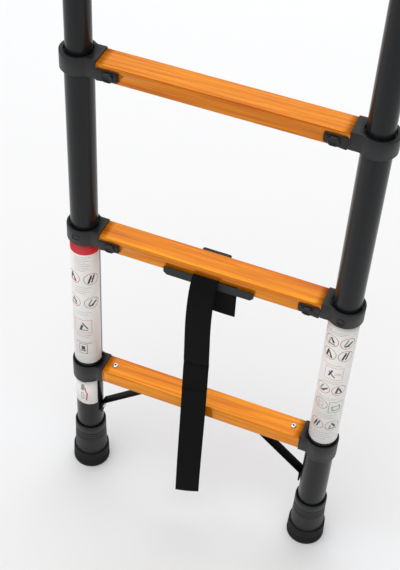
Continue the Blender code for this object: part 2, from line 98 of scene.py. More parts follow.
# %% Treads, stile axes and tube sizes
SIDES = {"left": -1.0, "right": 1.0}
RUNGS = range(1, 8)
LATCHED_RUNGS = range(2, 7)
TREAD = {rung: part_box(f"rung_{rung}")[1].z for rung in RUNGS}
RUNG_LOW, RUNG_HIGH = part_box("rung_2")
RUNG_HALF = RUNG_HIGH.x
RUNG_DEPTH = RUNG_HIGH.y - RUNG_LOW.y
RUNG_HEIGHT = RUNG_HIGH.z - RUNG_LOW.z
tube_low, tube_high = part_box("stile_1_right")
STILE_X = (tube_low.x + tube_high.x) / 2
BASE_RADIUS = (tube_high.x - tube_low.x) / 2
RADIUS_STEP = 0.0022
TUBE_WALL = 0.0013
GAP = 0.0003


def tube_radius(tube):
    """Outer radius of a stile tube, from 1 (lowest) to 6 (highest)."""
    return BASE_RADIUS - (tube - 1) * RADIUS_STEP


def body_of_rung(rung):
    """The two lowest rungs belong to the base, and every other one to its own sliding section."""
    return "base" if rung < 3 else f"section_{rung}"


print("treads at", {rung: round(height, 3) for rung, height in TREAD.items()})
print("stile axis at", round(STILE_X, 4), "lowest tube radius", round(BASE_RADIUS, 4))

# %% [markdown]
# ## Studio
# A pale floor, a dim white surrounding, a broad soft lamp overhead and a large white panel behind.
# The panel is what the treads mirror towards the user, so they look bright and yellow, while the
# fronts of the rungs mirror the floor. The dark tubes get their bright edges from the surrounding,
# because a coated tube mirrors most strongly at a glancing angle.

# %% Camera
VIEW_YAW = math.radians(-19.132)
VIEW_DOWN = math.radians(45.602)
VIEW_ROLL = math.radians(3.62)
VIEW_FROM_TREAD = Vector((0.3847, -1.1570, 1.1955))     # seen from the middle of rung 2's tread


def view_matrix(yaw, down, roll, place):
    """Camera matrix from a compass direction, a downward tilt and a roll about the line of sight."""
    forward = Vector((math.sin(yaw) * math.cos(down), math.cos(yaw) * math.cos(down), -math.sin(down)))
    level = Vector((math.cos(yaw), -math.sin(yaw), 0.0))
    upright = level.cross(forward)
    right = math.cos(roll) * level + math.sin(roll) * upright
    up = math.cos(roll) * upright - math.sin(roll) * level
    turned = Matrix((right, up, -forward)).transposed().to_4x4()
    return Matrix.Translation(place) @ turned


camera_data = bpy.data.cameras.new("studio_camera")
camera_data.lens = 76.1
camera_data.sensor_width = 36.0
camera = bpy.data.objects.new("studio_camera", camera_data)
bpy.context.scene.collection.objects.link(camera)
camera.matrix_world = view_matrix(VIEW_YAW, VIEW_DOWN, VIEW_ROLL, VIEW_FROM_TREAD + Vector((0, 0, TREAD[2])))
bpy.context.scene.camera = camera
print("camera stands at", [round(v, 3) for v in camera.matrix_world.translation])

# %% Light
SURROUNDING = (0.97, 0.985, 1.0)
bpy.context.scene.view_settings.view_transform = "Standard"
world = bpy.data.worlds.new("studio")
world.use_nodes = True
world.node_tree.nodes["Background"].inputs["Color"].default_value = (*SURROUNDING, 1.0)
world.node_tree.nodes["Background"].inputs["Strength"].default_value = 0.38
bpy.context.scene.world = world


def add_lamp(name, kind, place, aim, settings):
    """A lamp at a place, turned towards a point, with its own settings."""
    data = bpy.data.lights.new(name, kind)
    for setting, value in settings.items():
        setattr(data, setting, value)
    lamp = bpy.data.objects.new(name, data)
    bpy.context.scene.collection.objects.link(lamp)
    lamp.location = place
    lamp.rotation_euler = (Vector(aim) - Vector(place)).to_track_quat("-Z", "Y").to_euler()
    return lamp


LAMP_AIM = (0.0, 0.0, 0.6)
SOFTNESS = math.radians(75)
add_lamp("overhead_soft_light", "SUN", (-0.8, -0.7, 4.0), LAMP_AIM, {"energy": 1.85, "angle": SOFTNESS})
add_lamp("white_panel_behind", "AREA", (-0.6, 3.6, 4.2), LAMP_AIM, {"size": 5.0, "energy": 80.0})

# %% Floor
floor_bm = bmesh.new()
bmesh.ops.create_grid(floor_bm, x_segments=1, y_segments=1, size=7.0)
floor_mesh = bpy.data.meshes.new("studio_floor")
floor_bm.to_mesh(floor_mesh)
floor_bm.free()
floor_paint = bpy.data.materials.new("studio_floor")
floor_paint.use_nodes = True
floor_paint.node_tree.nodes["Principled BSDF"].inputs["Base Color"].default_value = (0.86, 0.86, 0.865, 1.0)
floor_paint.node_tree.nodes["Principled BSDF"].inputs["Roughness"].default_value = 0.75
floor_mesh.materials.append(floor_paint)
floor = bpy.data.objects.new("studio_floor", floor_mesh)
bpy.context.scene.collection.objects.link(floor)
floor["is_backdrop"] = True
print("the floor is", floor.dimensions.x, "metres wide")

# %% [markdown]
# ## Surface effects shared by several finishes
# Each effect is a node group with named inputs and outputs. It gives a height for a Bump node and a
# slow blotch for colour or roughness. The shader itself stays in each material.

# %% A helper for node groups
def new_group(name, inputs, outputs):
    """An empty shader node group; inputs are (name, kind, default), outputs are (name, kind)."""
    group = bpy.data.node_groups.new(name, "ShaderNodeTree")
    for title, kind, default in inputs:
        socket = group.interface.new_socket(name=title, in_out="INPUT", socket_type=kind)
        socket.default_value = default
    for title, kind in outputs:
        group.interface.new_socket(name=title, in_out="OUTPUT", socket_type=kind)
    return group, group.nodes.new("NodeGroupInput"), group.nodes.new("NodeGroupOutput")


def math_node(tree, operation, first, second=None):
    """A Math node whose inputs are sockets or plain numbers; gives back its output socket."""
    node = tree.nodes.new("ShaderNodeMath")
    node.operation = operation
    for socket, value in zip(node.inputs, (first, second)):
        if isinstance(value, bpy.types.NodeSocket):
            tree.links.new(value, socket)
        elif value is not None:
            socket.default_value = value
    return node.outputs[0]


# %% Fine moulded grain
def build_moulded_grain():
    """Tiny pits from a spark-eroded mould, and a slow blotch from handling."""
    tree, start, end = new_group("moulded_grain",
                                 [("Grain Scale", "NodeSocketFloat", 2200.0),
                                  ("Blotch Scale", "NodeSocketFloat", 35.0)],
                                 [("Height", "NodeSocketFloat"), ("Blotch", "NodeSocketFloat")])
    where = tree.nodes.new("ShaderNodeTexCoord")
    for title, detail in (("Grain Scale", 2.0), ("Blotch Scale", 4.0)):
        noise = tree.nodes.new("ShaderNodeTexNoise")
        noise.inputs["Detail"].default_value = detail
        tree.links.new(where.outputs["Object"], noise.inputs["Vector"])
        tree.links.new(start.outputs[title], noise.inputs["Scale"])
        tree.links.new(noise.outputs["Fac"], end.inputs["Height" if title == "Grain Scale" else "Blotch"])
    return tree


MOULDED_GRAIN = build_moulded_grain()
print("group", MOULDED_GRAIN.name, "has", len(MOULDED_GRAIN.nodes), "nodes")


# %% Drawn lines along a profile
def build_drawn_lines():
    """Streaks that a die leaves along an extruded profile: noise stretched along one axis."""
    tree, start, end = new_group("drawn_lines",
                                 [("Stretch", "NodeSocketVector", (1.0, 1.0, 1.0)),
                                  ("Scale", "NodeSocketFloat", 100.0)],
                                 [("Height", "NodeSocketFloat"), ("Blotch", "NodeSocketFloat")])
    where = tree.nodes.new("ShaderNodeTexCoord")
    mapping = tree.nodes.new("ShaderNodeMapping")
    tree.links.new(where.outputs["Object"], mapping.inputs["Vector"])
    tree.links.new(start.outputs["Stretch"], mapping.inputs["Scale"])
    fine = tree.nodes.new("ShaderNodeTexNoise")
    fine.inputs["Detail"].default_value = 3.0
    tree.links.new(mapping.outputs["Vector"], fine.inputs["Vector"])
    tree.links.new(start.outputs["Scale"], fine.inputs["Scale"])
    slow = tree.nodes.new("ShaderNodeTexNoise")
    slow.inputs["Detail"].default_value = 2.0
    tree.links.new(mapping.outputs["Vector"], slow.inputs["Vector"])
    tree.links.new(math_node(tree, "MULTIPLY", start.outputs["Scale"], 0.22), slow.inputs["Scale"])
    tree.links.new(fine.outputs["Fac"], end.inputs["Height"])
    both = math_node(tree, "MULTIPLY", math_node(tree, "ADD", slow.outputs["Fac"], fine.outputs["Fac"]), 0.5)
    tree.links.new(both, end.inputs["Blotch"])
    return tree


DRAWN_LINES = build_drawn_lines()
print("group", DRAWN_LINES.name, "has", len(DRAWN_LINES.nodes), "nodes")


# %% Woven webbing
def build_weave():
    """Warp ribs that swell between weft rows, from a UV map in metres."""
    tree, start, end = new_group("webbing_weave",
                                 [("UV", "NodeSocketVector", (0.0, 0.0, 0.0)),
                                  ("Rib Pitch", "NodeSocketFloat", 0.0013),
                                  ("Row Pitch", "NodeSocketFloat", 0.0017)],
                                 [("Height", "NodeSocketFloat"), ("Thread", "NodeSocketFloat")])
    split = tree.nodes.new("ShaderNodeSeparateXYZ")
    tree.links.new(start.outputs["UV"], split.inputs[0])
    across = math_node(tree, "DIVIDE", split.outputs["X"], start.outputs["Rib Pitch"])
    along = math_node(tree, "DIVIDE", split.outputs["Y"], start.outputs["Row Pitch"])

    def hump(places):
        """A rounded hump over every whole number of places."""
        wave = math_node(tree, "SINE", math_node(tree, "MULTIPLY", places, math.pi))
        return math_node(tree, "ABSOLUTE", wave)

    rib = hump(across)
    column = math_node(tree, "FLOOR", across)
    row = hump(math_node(tree, "ADD", along, math_node(tree, "MULTIPLY", column, 0.5)))
    swell = math_node(tree, "ADD", math_node(tree, "MULTIPLY", row, 0.6), 0.4)
    height = math_node(tree, "MULTIPLY", rib, swell)
    tree.links.new(height, end.inputs["Height"])
    tree.links.new(row, end.inputs["Thread"])
    return tree


WEAVE = build_weave()
print("group", WEAVE.name, "has", len(WEAVE.nodes), "nodes")

# %% [markdown]
# ## Finishes
# A finish is a Principled shader with two close colours mixed by the blotch, a roughness that moves
# a little with it, and a Bump node for the height. Numbers that are the same all over, such as
# metallic, sit on the shader's own sockets.

# %% One way to build every finish
def new_finish(name, group, group_values, colours, roughness, bump, shader_values=None, uv_map=None):
    """A material from an effect group: colour and roughness follow the blotch, bump the height."""
    material = bpy.data.materials.new(name)
    material.use_nodes = True
    tree = material.node_tree
    shader = tree.nodes["Principled BSDF"]
    for title, value in (shader_values or {}).items():
        shader.inputs[title].default_value = value
    effect = tree.nodes.new("ShaderNodeGroup")
    effect.node_tree = group
    for title, value in group_values.items():
        effect.inputs[title].default_value = value
    if uv_map:
        uv = tree.nodes.new("ShaderNodeUVMap")
        uv.uv_map = uv_map
        tree.links.new(uv.outputs["UV"], effect.inputs["UV"])
    slow = effect.outputs[1]
    mix = tree.nodes.new("ShaderNodeMix")
    mix.data_type = "RGBA"
    mix.inputs["A"].default_value = (*colours[0], 1.0)
    mix.inputs["B"].default_value = (*colours[1], 1.0)
    sharpen = tree.nodes.new("ShaderNodeMapRange")
    sharpen.inputs["From Min"].default_value = 0.35
    sharpen.inputs["From Max"].default_value = 0.65
    tree.links.new(slow, sharpen.inputs["Value"])
    tree.links.new(sharpen.outputs["Result"], mix.inputs["Factor"])
    tree.links.new(mix.outputs["Result"], shader.inputs["Base Color"])
    gloss = tree.nodes.new("ShaderNodeMapRange")
    gloss.inputs["To Min"].default_value = roughness[0]
    gloss.inputs["To Max"].default_value = roughness[1]
    tree.links.new(slow, gloss.inputs["Value"])
    tree.links.new(gloss.outputs["Result"], shader.inputs["Roughness"])
    relief = tree.nodes.new("ShaderNodeBump")
    relief.inputs["Strength"].default_value = bump[0]
    relief.inputs["Distance"].default_value = bump[1]
    tree.links.new(effect.outputs["Height"], relief.inputs["Height"])
    tree.links.new(relief.outputs["Normal"], shader.inputs["Normal"])
    return material


# %% Metal finishes
SATIN = {"Specular IOR Level": 0.35}
TUBE_COAT = new_finish("tube_coating", DRAWN_LINES, {"Stretch": (1.0, 1.0, 0.03), "Scale": 420.0},
                       [(0.0110, 0.0118, 0.0128), (0.0150, 0.0158, 0.0170)], (0.20, 0.30), (0.10, 0.0002),
                       {"Specular IOR Level": 0.22})
ANODISED = new_finish("orange_anodising", DRAWN_LINES, {"Stretch": (0.03, 1.0, 1.0), "Scale": 330.0},
                      [(0.58, 0.096, 0.0003), (0.98, 0.330, 0.005)], (0.09, 0.16), (0.12, 0.0002),
                      {"Metallic": 0.25, "IOR": 1.9, "Specular Tint": (1.0, 0.79, 0.31, 1.0)})
BRACE_COAT = new_finish("brace_coating", MOULDED_GRAIN, {"Grain Scale": 900.0, "Blotch Scale": 40.0},
                        [(0.0015, 0.0015, 0.0018), (0.0035, 0.0035, 0.0038)], (0.40, 0.55), (0.15, 0.0002),
                        {"Specular IOR Level": 0.06})
ZINC = new_finish("zinc_plate", MOULDED_GRAIN, {"Grain Scale": 1500.0, "Blotch Scale": 200.0},
                  [(0.74, 0.74, 0.74), (0.84, 0.84, 0.82)], (0.18, 0.32), (0.08, 0.0001), {"Metallic": 1.0})


def blur_treads(material, extra):
    """Where the mesh says "ribbed", the fine ribs blur what the tread mirrors."""
    tree = material.node_tree
    ribbed = tree.nodes.new("ShaderNodeAttribute")
    ribbed.attribute_name = "ribbed"
    shader = tree.nodes["Principled BSDF"]
    plain = shader.inputs["Roughness"].links[0].from_socket
    added = math_node(tree, "MULTIPLY", ribbed.outputs["Fac"], extra)
    tree.links.new(math_node(tree, "ADD", plain, added), shader.inputs["Roughness"])


blur_treads(ANODISED, 0.26)
print("metal finishes:", TUBE_COAT.name, ANODISED.name, BRACE_COAT.name, ZINC.name)

# %% Plastic, rubber and webbing
COLLAR_PLASTIC = new_finish("collar_plastic", MOULDED_GRAIN, {"Grain Scale": 2600.0, "Blotch Scale": 60.0},
                            [(0.0100, 0.0105, 0.0115), (0.0145, 0.0155, 0.0170)], (0.38, 0.52),
                            (0.30, 0.0002), SATIN)
LATCH_PLASTIC = new_finish("latch_plastic", MOULDED_GRAIN, {"Grain Scale": 2600.0, "Blotch Scale": 90.0},
                           [(0.0085, 0.0090, 0.0100), (0.0130, 0.0140, 0.0150)], (0.30, 0.44), (0.22, 0.0002),
                           SATIN)
TRIM_PLASTIC = new_finish("trim_plastic", MOULDED_GRAIN, {"Grain Scale": 2200.0, "Blotch Scale": 70.0},
                          [(0.0110, 0.0115, 0.0120), (0.0160, 0.0165, 0.0175)], (0.42, 0.56), (0.30, 0.0002),
                          SATIN)
SOLE_RUBBER = new_finish("sole_rubber", MOULDED_GRAIN, {"Grain Scale": 1400.0, "Blotch Scale": 50.0},
                         [(0.007, 0.007, 0.007), (0.014, 0.0135, 0.013)], (0.70, 0.88), (0.45, 0.0003),
                         {"Specular IOR Level": 0.25})
WEBBING = new_finish("strap_webbing", WEAVE, {"Rib Pitch": 0.0013, "Row Pitch": 0.0017},
                     [(0.0040, 0.0040, 0.0042), (0.0088, 0.0088, 0.0092)], (0.70, 0.85), (0.9, 0.0003),
                     {"Specular IOR Level": 0.06, "Sheen Weight": 0.01}, "cloth")


def paint_fold_shade(material):
    """Painted shade: where the mesh's fold-shade layer is high, the webbing's colour sinks towards black."""
    tree = material.node_tree
    fold = tree.nodes.new("ShaderNodeAttribute")
    fold.attribute_name = "fold"
    shader = tree.nodes["Principled BSDF"]
    mix = tree.nodes.new("ShaderNodeMix")
    mix.data_type = "RGBA"
    tree.links.new(math_node(tree, "MULTIPLY", fold.outputs["Fac"], 0.85), mix.inputs["Factor"])
    tree.links.new(shader.inputs["Base Color"].links[0].from_socket, mix.inputs["A"])
    mix.inputs["B"].default_value = (0.0004, 0.0004, 0.0004, 1.0)
    tree.links.new(mix.outputs["Result"], shader.inputs["Base Color"])


paint_fold_shade(WEBBING)
soft = (COLLAR_PLASTIC, LATCH_PLASTIC, TRIM_PLASTIC, SOLE_RUBBER, WEBBING)
print("soft finishes:", ", ".join(finish.name for finish in soft))

# %% [markdown]
# ## Turning a bmesh into a piece
# Every piece is finished the same way: its mesh is written in place, shaded smooth with its hard
# edges marked, and given to the body that carries it.

# %% Finish and place a piece
def finish_piece(bm, name, finish, body, stands_for=(), sharp=38.0, recalc=True):
    """Write the bmesh into a new object that rides on a body and stands for some model nodes."""
    bmesh.ops.remove_doubles(bm, verts=bm.verts, dist=0.00001)
    if recalc:
        bmesh.ops.recalc_face_normals(bm, faces=bm.faces)
    mesh = bpy.data.meshes.new(name)
    bm.to_mesh(mesh)
    bm.free()
    mesh.shade_smooth()
    mesh.set_sharp_from_angle(angle=math.radians(sharp))
    mesh.materials.append(finish)
    piece = bpy.data.objects.new(name, mesh)
    bpy.context.scene.collection.objects.link(piece)
    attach(piece, body)
    if stands_for:
        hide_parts(*stands_for)
    return piece


def lathe(profile, steps, centre, closed):
    """Spin a (radius, height) profile a full turn about a vertical axis through the centre."""
    bm = bmesh.new()
    points = [bm.verts.new((radius, 0.0, height)) for radius, height in profile]
    edges = [bm.edges.new(pair) for pair in zip(points, points[1:])]
    if closed:
        edges.append(bm.edges.new((points[-1], points[0])))
    bmesh.ops.spin(bm, geom=points + edges, cent=(0, 0, 0), axis=(0, 0, 1), angle=2 * math.pi,
                   steps=steps, use_merge=True)
    bmesh.ops.remove_doubles(bm, verts=bm.verts, dist=0.00001)
    bmesh.ops.translate(bm, vec=centre, verts=bm.verts)
    return bm


def loft(bm, loops):
    """Extrude a ring of points from one loop of places to the next; gives back every ring's edges."""
    ring = [bm.verts.new(place) for place in loops[0]]
    rings = [[bm.edges.new(pair) for pair in zip(ring, ring[1:] + ring[:1])]]
    for loop in loops[1:]:
        grown = set(bmesh.ops.extrude_edge_only(bm, edges=rings[-1])["geom"])
        ring = [next(far for far in (edge.other_vert(vert) for edge in vert.link_edges) if far in grown)
                for vert in ring]
        for vert, place in zip(ring, loop):
            vert.co = place
        rings.append([bm.edges.get(pair) for pair in zip(ring, ring[1:] + ring[:1])])
    return rings


def count_pieces(start):
    """How many finished pieces have a name that starts like this."""
    return len([item for item in bpy.data.objects if item.name.startswith(start)])


print("helpers ready")

# %% [markdown]
# ## Stile tubes
# A tube is a ring profile turned about the stile's axis. The mouth gets a small chamfer inside and
# out, as a sawn and deburred tube has. The foot of each sliding tube carries its glide bush, which
# shows only when the tubes are apart.

# %% Stile tubes
TUBE_STEPS = 72
TUBE_CHAMFER = 0.0003
GLIDE_LENGTH = 0.008


def tube_profile(tube, low, high):
    """Ring profile of one tube, outer side from top to bottom and back up inside."""
    radius = tube_radius(tube)
    bore = radius - TUBE_WALL
    chamfer = TUBE_CHAMFER
    points = [(radius - chamfer, high), (radius, high - chamfer)]
    if tube == 1:
        points += [(radius, low + chamfer), (radius - chamfer, low)]
    else:
        glide = tube_radius(tube - 1) - TUBE_WALL - GAP
        glide_top = low + GLIDE_LENGTH
        points += [(radius, glide_top), (glide - chamfer, glide_top), (glide, glide_top - chamfer),
                   (glide, low + chamfer), (glide - chamfer, low)]
    return points + [(bore + chamfer, low), (bore, low + chamfer), (bore, high - chamfer),
                     (bore + chamfer, high)]


for tube in range(1, 7):
    for side, sign in SIDES.items():
        node = f"stile_{tube}_{side}"
        low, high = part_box(node)
        bm = lathe(tube_profile(tube, low.z, high.z), TUBE_STEPS, (sign * STILE_X, 0, 0), True)
        finish_piece(bm, f"tube_{tube}_{side}", TUBE_COAT, body_of_rung(tube + 1), [node])
print("tubes made:", count_pieces("tube_"))

# %% [markdown]
# ## Rungs
# A rung is a hollow extruded profile with fine ribs along its tread. The outer skin is drawn as one
# section and extruded from station to station, so that the slot for a latch can be left out of the
# front wall. A Solidify modifier then gives the skin its wall.

# %% Section of a rung
RIBS = 11
RIB_GROOVE = 0.0007
RIB_DEPTH = 0.00016
EDGE_RADIUS = 0.0030
EDGE_STEPS = 6
PIN_DROP = 0.0142
SLOT_HALF = 0.0034
RUNG_WALL = 0.0016


def rung_section():
    """(y, z) points of the skin, from the tread's rear edge to the front, down and round."""
    half = RUNG_DEPTH / 2
    flat = half - EDGE_RADIUS
    points = []
    first_rib = flat - 0.0012
    pitch = 2 * first_rib / (RIBS - 1)
    for rib in range(RIBS):
        y = first_rib - rib * pitch
        points += [(y + RIB_GROOVE / 2, 0.0), (y + RIB_GROOVE / 4, -RIB_DEPTH),
                   (y - RIB_GROOVE / 4, -RIB_DEPTH), (y - RIB_GROOVE / 2, 0.0)]

    def corner(y, z, start):
        """A quarter turn of the rounded edge, from one direction on."""
        turn = [start + math.pi / 2 * i / EDGE_STEPS for i in range(EDGE_STEPS + 1)]
        return [(y + EDGE_RADIUS * math.cos(a), z + EDGE_RADIUS * math.sin(a)) for a in turn]

    points += corner(-flat, -EDGE_RADIUS, math.pi / 2)
    points += [(-half, -PIN_DROP + SLOT_HALF), (-half, -PIN_DROP - SLOT_HALF)]
    points += corner(-flat, -RUNG_HEIGHT + EDGE_RADIUS, math.pi)
    points += corner(flat, -RUNG_HEIGHT + EDGE_RADIUS, math.pi * 1.5)
    points += corner(flat, -EDGE_RADIUS, 0.0)
    return points


print("the rung's section has", len(rung_section()), "points")

# %% Rungs
SLOT_X = (0.1405, 0.1555)


def make_rung(rung):
    """The ribbed skin with its slots, ready for Solidify."""
    middle = SLOT_X[0] / 2
    stations = [-RUNG_HALF, -SLOT_X[1], -SLOT_X[0], -middle, middle, SLOT_X[0], SLOT_X[1], RUNG_HALF]
    bm = bmesh.new()
    loft(bm, [[(x, y, z + TREAD[rung]) for y, z in rung_section()] for x in stations])

    def in_slot(face):
        """Whether a face is the piece of front wall that a latch's slot takes away."""
        centre = face.calc_center_median()
        at_front = centre.y < -RUNG_DEPTH / 2 + 0.0005
        at_height = abs(centre.z - TREAD[rung] + PIN_DROP) < 0.0005
        return at_front and at_height and SLOT_X[0] < abs(centre.x) < SLOT_X[1]

    if rung in LATCHED_RUNGS:
        bmesh.ops.delete(bm, geom=[face for face in bm.faces if in_slot(face)], context="FACES")
    ribbed = bm.verts.layers.float.new("ribbed")
    for vert in bm.verts:
        vert[ribbed] = 1.0 if vert.co.z > TREAD[rung] - 0.0005 else 0.0
    piece = finish_piece(bm, f"tread_{rung}", ANODISED, body_of_rung(rung), [f"rung_{rung}"],
                         28.0)
    wall = piece.modifiers.new("wall", "SOLIDIFY")
    wall.thickness = RUNG_WALL
    wall.offset = -1.0
    return piece


for rung in RUNGS:
    make_rung(rung)
print("rungs made:", count_pieces("tread_"))

# %% [markdown]
# ## Collars
# Seen from above, a collar is a round ring that flows into a neck as wide as the rung. That outline
# is a distance from the stile's axis for each direction, so every height of the collar is the same
# list of directions with its own inset, and extruding ring to ring gives the soft moulded edges.

# %% Outline of a collar
COLLAR_RADIUS = 0.026
COLLAR_FACE = RUNG_HALF + GAP
NECK_REACH = STILE_X - COLLAR_FACE
COLLAR_STEPS = 96
FLOW = 0.0022                # how softly the ring runs into the neck
TOP_ROUNDING = 0.0016
COLLAR_TOP = 0.0018          # above the tread
COLLAR_BOTTOM = -0.0255
FIXED_BOTTOM = -0.0285       # the two lowest collars are taller and have a wide mouth
FIXED_DROP = 0.0080
FIXED_RECESS = 0.0245


def directions():
    """Directions round the axis, with the neck's two corners hit exactly."""
    corner = math.atan2(RUNG_DEPTH / 2, NECK_REACH)
    snapped = []
    for step in range(COLLAR_STEPS):
        turn = 2 * math.pi * step / COLLAR_STEPS
        signed = turn if turn < math.pi else turn - 2 * math.pi
        if abs(abs(signed) - corner) < math.pi / COLLAR_STEPS:
            signed = math.copysign(corner, signed)
        snapped.append(signed)
    return snapped


def reach(turn, inset):
    """Distance from the axis to the collar's outside, in one direction."""
    ring = COLLAR_RADIUS - inset
    if abs(turn) >= math.pi / 2:
        return ring
    to_face = NECK_REACH / math.cos(turn)
    to_side = (RUNG_DEPTH / 2 - inset) / max(abs(math.sin(turn)), 1e-6)
    neck = min(to_face, to_side)
    overlap = max(FLOW - abs(ring - neck), 0.0) / FLOW
    return max(ring, neck) + overlap * overlap * FLOW / 4


print("neck reaches", round(NECK_REACH, 4), "from the stile's axis")


# %% Rings of a collar
def rounded_inset(radius, steps):
    """(inset, height) pairs that round an edge, counted from the wall towards the face."""
    turns = [math.pi / 2 * i / steps for i in range(steps + 1)]
    return [(radius * (1 - math.cos(a)), radius * math.sin(a)) for a in turns]


def collar_rings(tube, next_tube, top, bottom, recess):
    """(kind, size, height) of each ring: up the outside, then down the inside."""
    rings = [("out", 0.0008, bottom), ("out", 0.0, bottom + 0.0008)]
    for inset, height in rounded_inset(TOP_ROUNDING, 4):
        rings.append(("out", inset, top - TOP_ROUNDING + height))
    rings += [("bore", recess + 0.0006, top), ("bore", recess, top - 0.0006)]
    seat = tube_radius(tube) + GAP
    if next_tube:
        guide = tube_radius(next_tube) + 0.0004
        rings += [("bore", recess, -0.0032), ("bore", guide, -0.0034), ("bore", guide, -0.0062)]
        rings += [("bore", seat, -0.0062)]
    elif recess > seat:
        rings += [("bore", recess, -0.0050), ("bore", seat, -0.0052)]
    return rings + [("bore", seat, bottom)]


def ring_points(kind, size, height, centre, toward, drop):
    """Points of one ring in place. drop lowers the round part of the fixed collars' lower edge."""
    points = []
    for turn in directions():
        distance = reach(turn, size) if kind == "out" else size
        share = min(max((abs(turn) - 0.75) / 0.75, 0.0), 1.0)
        sink = drop * share * share * (3 - 2 * share)
        points.append((centre.x + toward * distance * math.cos(turn), distance * math.sin(turn),
                       centre.z + height - sink))
    return points


def make_collar(rung, side):
    """One collar: rings joined into a closed shell."""
    sign = SIDES[side]
    fixed = rung == 1
    tube = 1 if fixed else rung - 1
    next_tube = rung if 1 < rung < 7 else None
    bottom = FIXED_BOTTOM if fixed else COLLAR_BOTTOM
    drop = FIXED_DROP if fixed else 0.0
    recess = FIXED_RECESS if fixed else tube_radius(tube) - 0.0002
    if rung == 7:
        recess = tube_radius(tube) + GAP
    centre = Vector((sign * STILE_X, 0, TREAD[rung]))
    bm = bmesh.new()
    loops = []
    for kind, size, height in collar_rings(tube, next_tube, COLLAR_TOP, bottom, recess):
        low_ring = height <= bottom + 0.001
        loops.append(ring_points(kind, size, height, centre, -sign, drop if low_ring else 0.0))
    loft(bm, loops + loops[:1])
    return finish_piece(bm, f"collar_ring_{rung}_{side}", COLLAR_PLASTIC, body_of_rung(rung),
                        [f"collar_{rung}_{side}"], 50.0)


for rung in RUNGS:
    for side in SIDES:
        make_collar(rung, side)
print("collars made:", count_pieces("collar_ring_"))

# %% Rounded rectangles
def rounded_rectangle(half_x, half_z, radius, steps=5):
    """(x, z) points of a rounded rectangle about the origin."""
    radius = min(radius, half_x * 0.98, half_z * 0.98)
    points = []
    for quarter, (cx, cz) in enumerate(((1, 1), (-1, 1), (-1, -1), (1, -1))):
        for i in range(steps + 1):
            a = math.pi / 2 * (quarter + i / steps)
            points.append((cx * (half_x - radius) + radius * math.cos(a),
                           cz * (half_z - radius) + radius * math.sin(a)))
    return points


print("a rounded rectangle has", len(rounded_rectangle(1, 1, 0.2)), "points")

# %% [markdown]
# ## Mould marks
# The collars of rung 2 carry a faint raised outline where the mould was numbered: a circle on one
# side and a small rectangle on the other. Each outline is wrapped round the collar's wall.

# %% Mould marks
MARK_TURN = {"left": math.radians(-5.4), "right": math.radians(-1.8)}
MARK_DROP = {"left": -0.0108, "right": -0.0149}


def make_mark(side, azimuth, drop, outline, ridge):
    """A raised outline on the front of a rung 2 collar. The outline gives (across, up) places for an
    offset from its line."""
    centre = Vector((SIDES[side] * STILE_X, 0, TREAD[2] + drop))
    bm = bmesh.new()
    loops = []
    for offset, rise in ((-ridge, -0.0002), (-ridge * 0.5, 0.0007), (ridge * 0.5, 0.0007), (ridge, -0.0002),
                         (-ridge, -0.0002)):
        radius = COLLAR_RADIUS + rise
        loops.append([(centre.x + radius * math.sin(azimuth + across / COLLAR_RADIUS),
                       -radius * math.cos(azimuth + across / COLLAR_RADIUS), centre.z + up)
                      for across, up in outline(offset)])
    loft(bm, loops)
    return finish_piece(bm, f"mould_mark_{side}", COLLAR_PLASTIC, "base", ())


def circle_outline(offset):
    """A circle, as far inside or outside its line as the offset says."""
    radius = 0.0055 + offset
    return [(radius * math.cos(a), radius * math.sin(a)) for a in [2 * math.pi * i / 40 for i in range(40)]]


def box_outline(offset):
    """A rounded rectangle, as far inside or outside its line as the offset says."""
    return rounded_rectangle(0.0052 + offset, 0.0042 + offset, 0.0012 + offset)


make_mark("right", MARK_TURN["right"], MARK_DROP["right"], circle_outline, 0.0006)
make_mark("left", MARK_TURN["left"], MARK_DROP["left"], box_outline, 0.0005)
print("mould marks on the collars of rung 2")

# %% [markdown]
# ## Latches
# Each latch has a fixed plate on the front of the rung and a thumb tab that slides towards the
# middle of the ladder. The plate is a flat ring round its slot. The tab is lofted from rounded
# rectangles that first swell and then sink into a dish for the thumb.

# %% Latch plates
PLATE_X = (0.1360, COLLAR_FACE - 0.0001)
PLATE_FRONT = -0.0214
PLATE_BACK = -0.0193
PLATE_HALF_HEIGHT = 0.0075


def plate_drop(x, z):
    """Next to the collar the plate's lower edge reaches down to the rung's own edge."""
    share = min(max((x - 0.1500) / 0.0080, 0.0), 1.0)
    return 0.0034 * share * share * (3 - 2 * share) if z < 0 else 0.0


def make_latch_plate(rung, side):
    """A flat plate with a slot, its front edges rounded by extra rings."""
    sign = SIDES[side]
    middle_x = sum(PLATE_X) / 2
    half_x = (PLATE_X[1] - PLATE_X[0]) / 2
    slot_x, slot_half = sum(SLOT_X) / 2, (SLOT_X[1] - SLOT_X[0]) / 2

    def outer(inset, y):
        """The plate's outline at one depth."""
        shape = rounded_rectangle(half_x - inset, PLATE_HALF_HEIGHT - inset, 0.003, 8)
        return [(sign * (middle_x + x), y, TREAD[rung] - PIN_DROP + z - plate_drop(middle_x + x, z))
                for x, z in shape]

    def slot(grow, y):
        """The slot's outline at one depth."""
        shape = rounded_rectangle(slot_half + grow, SLOT_HALF + grow, 0.0012 + grow, 8)
        return [(sign * (slot_x + x), y, TREAD[rung] - PIN_DROP + z) for x, z in shape]

    bm = bmesh.new()
    loft(bm, [outer(0.0, PLATE_BACK), outer(0.0, PLATE_FRONT + 0.0007), outer(0.0002, PLATE_FRONT + 0.0002),
              outer(0.0007, PLATE_FRONT), slot(0.0003, PLATE_FRONT), slot(0.0, PLATE_FRONT + 0.0003),
              slot(0.0, PLATE_BACK), outer(0.0, PLATE_BACK)])
    return finish_piece(bm, f"latch_plate_{rung}_{side}", LATCH_PLASTIC, body_of_rung(rung), ())


